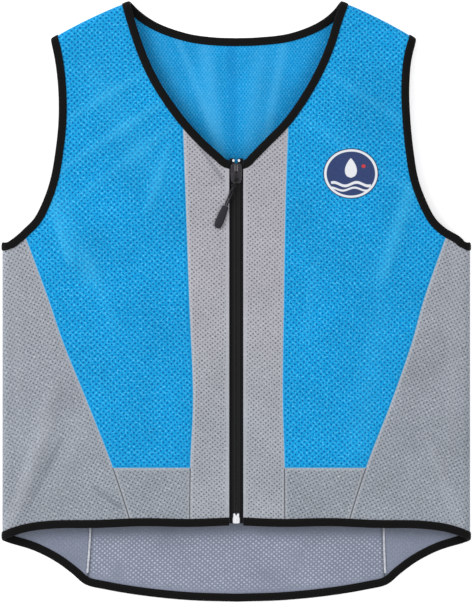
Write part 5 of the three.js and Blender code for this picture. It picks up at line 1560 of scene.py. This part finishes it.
COIL_OUT, COIL_TURN, COIL_WIDE, COIL_HIGH, NYLON = 0.15 + 1.3, 1.3, 1.05, 0.42, 0.24
turns = np.arange(box_top_y + 1, post_end_y - 2.6, COIL_TURN / 12)
angle = ((turns - turns[0]) * TURN / COIL_TURN)[:, None]
ring = np.linspace(0, TURN, 6)[:-1]
coil_x = np.cos(angle) * (COIL_WIDE + NYLON * np.cos(ring))
coil_y = turns[:, None] + NYLON * np.sin(ring)
coil_z = COIL_MIDDLE + np.sin(angle) * (COIL_HIGH + NYLON * np.cos(ring))
for side, word in SIDES.items():
    at, normal = near_centre(side * tape_x, tape_y)
    points, faces, _ = wall(at, normal, TAPE_UP + roll, TAPE_DOWN)
    piece(
        f"tape_{word}", points, [faces], [zip_cloth], [f"zip_tape_{word}"], None, marks,
    )
    at, normal = near_centre(side * COIL_OUT + coil_x, coil_y)
    points, faces = tube(at + normal * coil_z[..., None])
    piece(f"coil_{word}", points, faces, [coil_nylon], [f"zip_coil_{word}"], sharp=80)
print("zip from", round(float(box_bottom_y), 1), "to", round(float(zip_top_y), 1), "mm")


# %% [markdown]
# Small die-cast parts have soft edges everywhere, because a sharp one would cut the cloth. `cast`
# gives any outline that softness: it stacks copies of the outline, each a little smaller near the
# top and bottom, along a quarter circle.


# %% Cast parts
FILL = np.array([0.75, 0.5, 0.25, 0.02])


def cast(outline, low, high, soft=0.35, crown=0.0, rounds=4):
    """Stack of outlines: inset soft (1 - sin t), rise soft (1 - cos t), t over a quarter turn.

    The ends are filled with smaller copies, and the top one is crowned by crown (1 - size^2).
    """
    outline = np.asarray(outline, float)
    middle = outline.mean(0)
    size = np.abs(outline - middle).max(0)
    t = np.linspace(0, np.pi / 2, rounds)
    shrink = 1 - soft * (1 - np.sin(t))[:, None] / size
    rise = soft * (1 - np.cos(t))
    ends = shrink[0] * FILL[:, None]
    scales = np.concatenate([ends[::-1], shrink, shrink[::-1], ends])
    top = high + crown * (1 - FILL**2)
    heights = np.concatenate([np.full(len(FILL), low), low + rise, high - rise[::-1], top])
    stack = middle + (outline - middle) * scales[:, None]
    return np.dstack([stack, np.broadcast_to(heights[:, None], stack.shape[:2])])


def rounded(corners, count=64, pull=2):
    """A closed outline with its corners cut round: Chaikin's quarter points, repeated."""
    p = np.asarray(corners, float)
    for _ in range(pull):
        after = np.roll(p, -1, 0)
        p = np.stack([p * 0.75 + after * 0.25, p * 0.25 + after * 0.75], 1).reshape(-1, 2)
    loop = np.vstack([p, p[:1]])
    return read_run(np.linspace(0, 1, count + 1)[:-1], walk(loop)[1], loop)


def mirrored(half):
    """A half outline on the right, followed by its mirror image."""
    half = np.asarray(half, float)
    return np.vstack([half, half[::-1] * [-1, 1]])


def block(name, skins, shift, material, replaces=(), sharp=35):
    """Several closed skins, each (points, arrays of faces), as one piece."""
    points, faces, count = [], [], 0
    for skin, groups in skins:
        points.append(skin + shift)
        faces += [group + count for group in groups]
        count += len(skin)
    piece(name, np.concatenate(points), faces, [material], replaces, sharp=sharp)


def pipe(path, radius, up, sides=10, oval=1.0):
    """Rings round a path: radius * (cos a * side + oval * sin a * normal).

    The side is the cross product of the path's direction and `up`, the normal is square to both.
    """
    path = np.asarray(path, float)
    tangent = np.gradient(path, axis=0)
    tangent /= np.linalg.norm(tangent, axis=1, keepdims=True)
    side = np.cross(tangent, up)
    side /= np.linalg.norm(side, axis=1, keepdims=True)
    normal = np.cross(side, tangent)
    a = np.linspace(0, TURN, sides + 1)[:-1, None]
    radius = np.broadcast_to(radius, len(path))[:, None, None]
    return path[:, None] + radius * (np.cos(a) * side[:, None] + oval * np.sin(a) * normal[:, None])


# %% [markdown]
# The slider is two plates with a post between them, and the tapes run in the gap beside the post. A
# bail arches over its top plate to hold the pull, with a spring and a lock pin under it. The stops
# at the top keep the slider on, and the box at the foot holds the two tapes while they are joined.

# %% Slider, stops and box
UP = (0, 0, 1)
slider_at = [0, slider_y, slider_level]
plate = rounded(mirrored([(4.6, 0), (7, -2.6), (6.9, -14.4), (6.3, -21.6), (4.6, -24)]), 72)
neck_post = rounded(mirrored([(1.7, 0), (1.7, -5.0), (0.5, -8.4)]), 40)
lower_high = COIL_MIDDLE - 0.7 - CLEARANCE
skins = [
    tube(cast(plate, -1.0, 0.8, 0.5, 0.35)), tube(cast(plate, lower_high - 1.8, lower_high, 0.5)),
    tube(cast(neck_post, lower_high - 0.4, -0.6, 0.1)),
]
block("slider", skins, slider_at, black_metal, ["zip_slider"])

bail_y = np.array([-11.8, -11.8, -12.1, -13.2, -16.0, -18.8, -19.9, -20.2, -20.2])
bail_z = 0.8 + np.array([-0.6, 1.0, 1.9, 2.5, 2.75, 2.5, 1.9, 1.0, -0.6])
bail_path = np.stack([0 * bail_y, bail_y, bail_z], -1)
bail_path = read_run(np.linspace(0, 1, 40), walk(bail_path)[1], bail_path)
lock = rounded(mirrored([(1.2, -9.9), (1.5, -10.5), (1.2, -11.2)]), 24)
skins = [tube(pipe(bail_path, 0.8, (1, 0, 0), 12)), tube(cast(lock, 0.9, 1.35, 0.15))]
block("bail", skins, slider_at, black_enamel)

spring_y = np.linspace(-1.6, -9.6, 24)
wires = [np.stack([np.full(24, x), spring_y, np.full(24, 1.12)], -1) for x in (-1.5, 1.2)]
skins = [tube(pipe(wire, 0.36, UP, 8, 0.7)) for wire in wires]
block("spring", skins, slider_at, spring_steel)

for side, word in SIDES.items():
    outline = rounded([(2, -3.4), (4.6, -3.4), (4.6, 0), (2, 0)], 32) * [side, 1]
    block(
        f"top_stop_{word}", [tube(cast(outline, -1.0, 0.6, 0.3, 0.15))],
        [0, zip_top_y - 1, slider_level], nickel_painted_reflection, [f"zip_top_stop_{word}"],
    )

box_half = [
    (0.5, -2.6), (1.5, 0), (3.0, 0), (3.5, -1), (3.2, -4.4), (4.1, -5.4), (4.1, -10.8), (3.4, -12),
]
box = cast(rounded(mirrored(box_half), 72, 1), TAPE_UP - 1.3, TAPE_UP + 1.3, 0.4, 0.1)
box_at = [0, box_top_y, lay(np.array([0.0]), np.array([box_top_y]), FRONT)[0, 2]]
block("box", [tube(box)], box_at, nickel_painted_reflection, ["zip_box"])
print("slider, bail, spring, two stops and a box")

# %% [markdown]
# ## The pull
#
# A short tab hangs on the slider's bail. A loop of braided cord passes through the tab's lower eye,
# and both its ends run into a moulded grip that is easy to find without looking. The pull lies down
# to the left, at about twenty degrees.

# %% The pull's own directions
PULL_TURN = np.radians(-22)
PULL_CORD = 25.5
TAB_LONG = 7.6
pull_start = np.array([0, slider_y - SLIDER_LONG * 0.46 - 10 + 0.8, slider_level])


def along_pull(distance, aside, height):
    """Turned points: distance runs down the pull, aside to its right."""
    distance, aside, height = np.broadcast_arrays(distance, aside, height)
    x = aside * np.cos(PULL_TURN) + distance * np.sin(PULL_TURN)
    y = aside * np.sin(PULL_TURN) - distance * np.cos(PULL_TURN)
    return np.stack([x, y, height], -1) + pull_start


# %% [markdown]
# The tab is two rings on a short bar. The upper ring hangs in the bail and the cord runs through
# the lower one.

# %% Tab
EYE, EYE_WIRE, TAB_UP = 2.25, 0.85, 1.7
a = np.linspace(0, TURN, 49)[:-1]
eyes = [along_pull(d + EYE * np.sin(a), EYE * np.cos(a), TAB_UP) for d in (0, TAB_LONG)]
skins = [tube(pipe(eye, EYE_WIRE, UP, 10, 0.7), True) for eye in eyes]
skins.append(tube(pipe(along_pull(np.linspace(1.9, 5.7, 12), 0, TAB_UP), 1.5, UP, 12, 0.42)))
block("tab", skins, 0, black_enamel, ["pull_tab"], 50)
print("tab:", TAB_LONG, "mm between its eyes")

# %% [markdown]
# The cord comes out of the grip, climbs over the ring, goes down through its hole and back under it
# into the grip. Its braid is a small wave in its thickness and ribs in its finish.

# %% Cord
CORD, GRIP_AT = 0.9, 1 + CLEARANCE + 0.1 + 1.8
LOW, HIGH, APART = 1.1 - 1.2, 2.3 + 1.2, 1.152
route = np.array([
    (PULL_CORD, -APART, GRIP_AT), (15, -APART, GRIP_AT), (6.2, -APART * 0.9, HIGH - 0.1),
    (3.2, -0.5, HIGH + 0.05), (1.44, -0.2, HIGH + 0.05), (0.1, 0, 2.75), (0, 0, 0.65),
    (1.44, 0.2, LOW - 0.02), (3.2, 0.5, LOW), (5.6, APART * 0.9, LOW + 0.6),
    (10.7, APART, GRIP_AT - 0.3), (15, APART, GRIP_AT), (PULL_CORD, APART, GRIP_AT),
])
path = catmull_rom(along_pull(TAB_LONG + route[:, 0], route[:, 1], route[:, 2]), 16)
length = walked(path)
points, faces = tube(pipe(path, CORD * (1 + 0.05 * np.cos(length * TURN / 1.1)), (0.3, 1, 0.2), 12))
mark = np.stack(np.broadcast_arrays(length[:, None], np.linspace(0, 5.6, 12), 0.0), -1)
marks = {"band": mark.reshape(-1, 3)}
piece("cord_loop", points, faces, [cord_weave], ["pull_cord"], None, marks, sharp=80)
print("pull cord:", round(float(length[-1])), "mm round its loop")

# %% [markdown]
# The grip is moulded round the cord's ends, so it is one soft body: a rounded rectangle that grows
# towards its end and closes in a dome, with a low waist near the cord.

# %% Grip
GRIP_LONG, GRIP_WIDE, GRIP_THICK = 28.5, 5.0, 1.8


def rounded_wave(wave, power):
    """A cosine or sine flattened towards a square: its sign times its size to a power."""
    return np.sign(wave) * np.abs(wave) ** power


along = np.array([0, 0.015, 0.05, 0.11, 0.2, 0.33, 0.5, 0.66, 0.78, 0.87, 0.93, 0.97, 0.99, 1])
size = np.array([0.5, 0.72, 0.8, 0.84, 0.88, 0.93, 0.98, 1, 0.99, 0.93, 0.8, 0.6, 0.38, 0.1])
fine = (np.linspace(0, 1, 60) ** 0.9)[:, None]
size = np.interp(fine, along, size)
a = np.linspace(0, TURN, 33)[:-1]
waist = 1 - 0.05 * np.exp(-(((fine - 0.2) / 0.05) ** 2))
wide = GRIP_WIDE * rounded_wave(np.cos(a), 0.62 + 0.38 * smooth(fine * 3)) * size * waist
thick = GRIP_THICK * rounded_wave(np.sin(a), 0.8) * size
distance = TAB_LONG + PULL_CORD + CLEARANCE + GRIP_LONG * fine
points, faces = tube(along_pull(distance, wide, GRIP_AT + thick))
piece("grip", points, faces, [grip_rubber], ["pull_grip"], sharp=60)
print("grip:", GRIP_LONG, "mm long")

# %% [markdown]
# ## The badge
#
# A woven oval badge sits on the wearer's left chest. Its drawing here is a plain one of our own: a
# white border, and on navy a drop over a wave with a small red dot, which only says that the vest
# is soaked in water. The shapes are worked out at each point of a round grid, as distances from a
# line, so the shader can cut them sharply at zero.

# %% Badge
BADGE = dict(out=137, up=TOP_Y - 205, wide=33, high=30)
RIM = 0.955
r, a = np.sqrt(np.linspace(0.0004, 1, 56)), np.linspace(0, TURN, 129)[:-1]
r, a = np.meshgrid(r, a, indexing="ij")
s, t = r * np.cos(a), r * np.sin(a)
x, y = BADGE["out"] + BADGE["wide"] * s, BADGE["up"] + BADGE["high"] * t
drop_t = (t + 0.16) / 0.78
drop = 0.54 * np.sqrt(np.clip(drop_t, 0, 1)) * np.clip(1 - drop_t, 0, 1) ** 0.9 - np.abs(s)
drop = np.where((drop_t > 0) & (drop_t < 1), drop, -0.1)
upper_wave = 0.055 - np.abs(t + 0.42 - 0.07 * np.sin(7.5 * s))
lower_wave = 0.04 - np.abs(t + 0.62 - 0.06 * np.sin(7.5 * s + 0.6))
wave = np.minimum(np.maximum(upper_wave, lower_wave), 0.72 - np.abs(s))
border = 0.045 - np.abs(r - 0.925)
dot = 0.075 - np.hypot(s - 0.46, t - 0.3)
art = np.stack([np.maximum(np.maximum(drop, wave), border), dot, r], -1)
raised = smooth(art[..., 0] / 0.03 + 0.5) * 0.12
past_rim = ((r - RIM) / (1 - RIM)).clip(0, 1)
edge_fall = 0.8 * (1 - np.sqrt(1 - past_rim**2))
at, normal = near_centre(x, y)
top = at + normal * (2.15 + raised - edge_fall)[..., None]
points, faces = tube(np.concatenate([top, (at + normal * 1.25)[::-1]]))
marks = {"art": np.concatenate([art, art[::-1]]).reshape(-1, 3)}

paint = Paint("badge_weave")
thread_noise = paint.noise(paint.place(), 1.6, 2.0, 0.7)
white, red = (paint.mark("art", k).step(-0.012, 0.012) for k in (0, 1))
navy = paint.mix(thread_noise.step(0.35, 0.7), srgb(17, 40, 92), srgb(38, 66, 122))
pale = paint.mix(thread_noise, srgb(214, 218, 224), srgb(240, 242, 246))
colour = paint.mix(red, paint.mix(white, navy, pale), srgb(196, 44, 52))
colour = paint.mix(paint.mark("art", 2).step(RIM, 0.985), colour, srgb(30, 48, 92))
badge_weave = paint.finish(colour, 0.62, thread_noise, 0.12, 0.7)
piece("badge", points, faces, [badge_weave], ["chest_badge"], None, marks, sharp=50)
print("badge:", 2 * BADGE["wide"], "by", 2 * BADGE["high"], "mm")

# %% [markdown]
# ## Cut sizes
#
# The script measures the area of each grid on the flat cloth, and the width of each side panel,
# before they are laid. Nothing uses these numbers.

# %% [markdown]
# ## Table, light and camera
#
# The photograph is a shop picture: pure white round the vest, soft light from all sides, and the
# camera far above. A far camera with a long lens keeps the near and far parts of the vest the same
# size. The lens length is the sensor's width times the camera's height, over the length of the
# frame on the table.

# %% Table
table_material = bpy.data.materials.new("white_table")
table_material.use_nodes = True
table_inputs = table_material.node_tree.nodes["Principled BSDF"].inputs
for key, value in {
    "Base Color": (0.93, 0.93, 0.93, 1), "Roughness": 0.9,
    "Emission Color": (1, 1, 1, 1), "Emission Strength": 0.45,
}.items():
    table_inputs[key].default_value = value
table_mesh = bpy.data.meshes.new("table")
table_mesh.from_pydata([(-8, -8, 0), (8, -8, 0), (8, 8, 0), (-8, 8, 0)], [], [(0, 1, 2, 3)])
table_mesh.materials.append(table_material)
table = bpy.data.objects.new("table", table_mesh)
bpy.context.scene.collection.objects.link(table)

# %% [markdown]
# A white world lights every side. Three large area lights give the folds their shape: the key from
# the upper left, a weak fill from the right, and a weaker one from the tail's end.

# %% Light
scene = bpy.context.scene
scene.view_settings.view_transform = "Standard"
world = bpy.data.worlds.new("studio")
scene.world = world
world.use_nodes = True
sky = world.node_tree.nodes["Background"].inputs
sky["Color"].default_value, sky["Strength"].default_value = (1, 1, 1, 1), 0.55


def soft_light(name, place, size, power):
    """A square area light that looks at the middle of the vest."""
    light = bpy.data.lights.new(name, "AREA")
    light.shape, light.size, light.energy = "SQUARE", size, power
    made = bpy.data.objects.new(name, light)
    made.location = place
    direction = np.array(place) - [0, 0, 0.02]
    flat = np.hypot(*direction[:2])
    made.rotation_euler = (np.arctan2(flat, direction[2]), 0, np.arctan2(direction[0], -direction[1]))
    made.visible_camera = False
    bpy.context.scene.collection.objects.link(made)


soft_light("key", (-2.9, 1.7, 2.3), 2.2, 98)
soft_light("fill", (2.4, 0.6, 2.6), 2.2, 22)
soft_light("low", (0.2, -1.9, 1.6), 1.4, 10)
print("lights: key, fill and low")

# %% Camera
CAMERA_HEIGHT = 6.0
PICTURE_ROWS, MM_IN_A_PIXEL = 603, 1.2
FRAME_LONG = PICTURE_ROWS * MM_IN_A_PIXEL * MM
camera = bpy.data.objects.new("camera", bpy.data.cameras.new("camera"))
camera.data.lens = camera.data.sensor_width * CAMERA_HEIGHT / FRAME_LONG
camera.data.clip_end = 50
camera.location = (0.0009, 0.0006, CAMERA_HEIGHT)
bpy.context.scene.collection.objects.link(camera)
scene.camera = camera
print("lens:", round(camera.data.lens), "mm at", CAMERA_HEIGHT, "m")
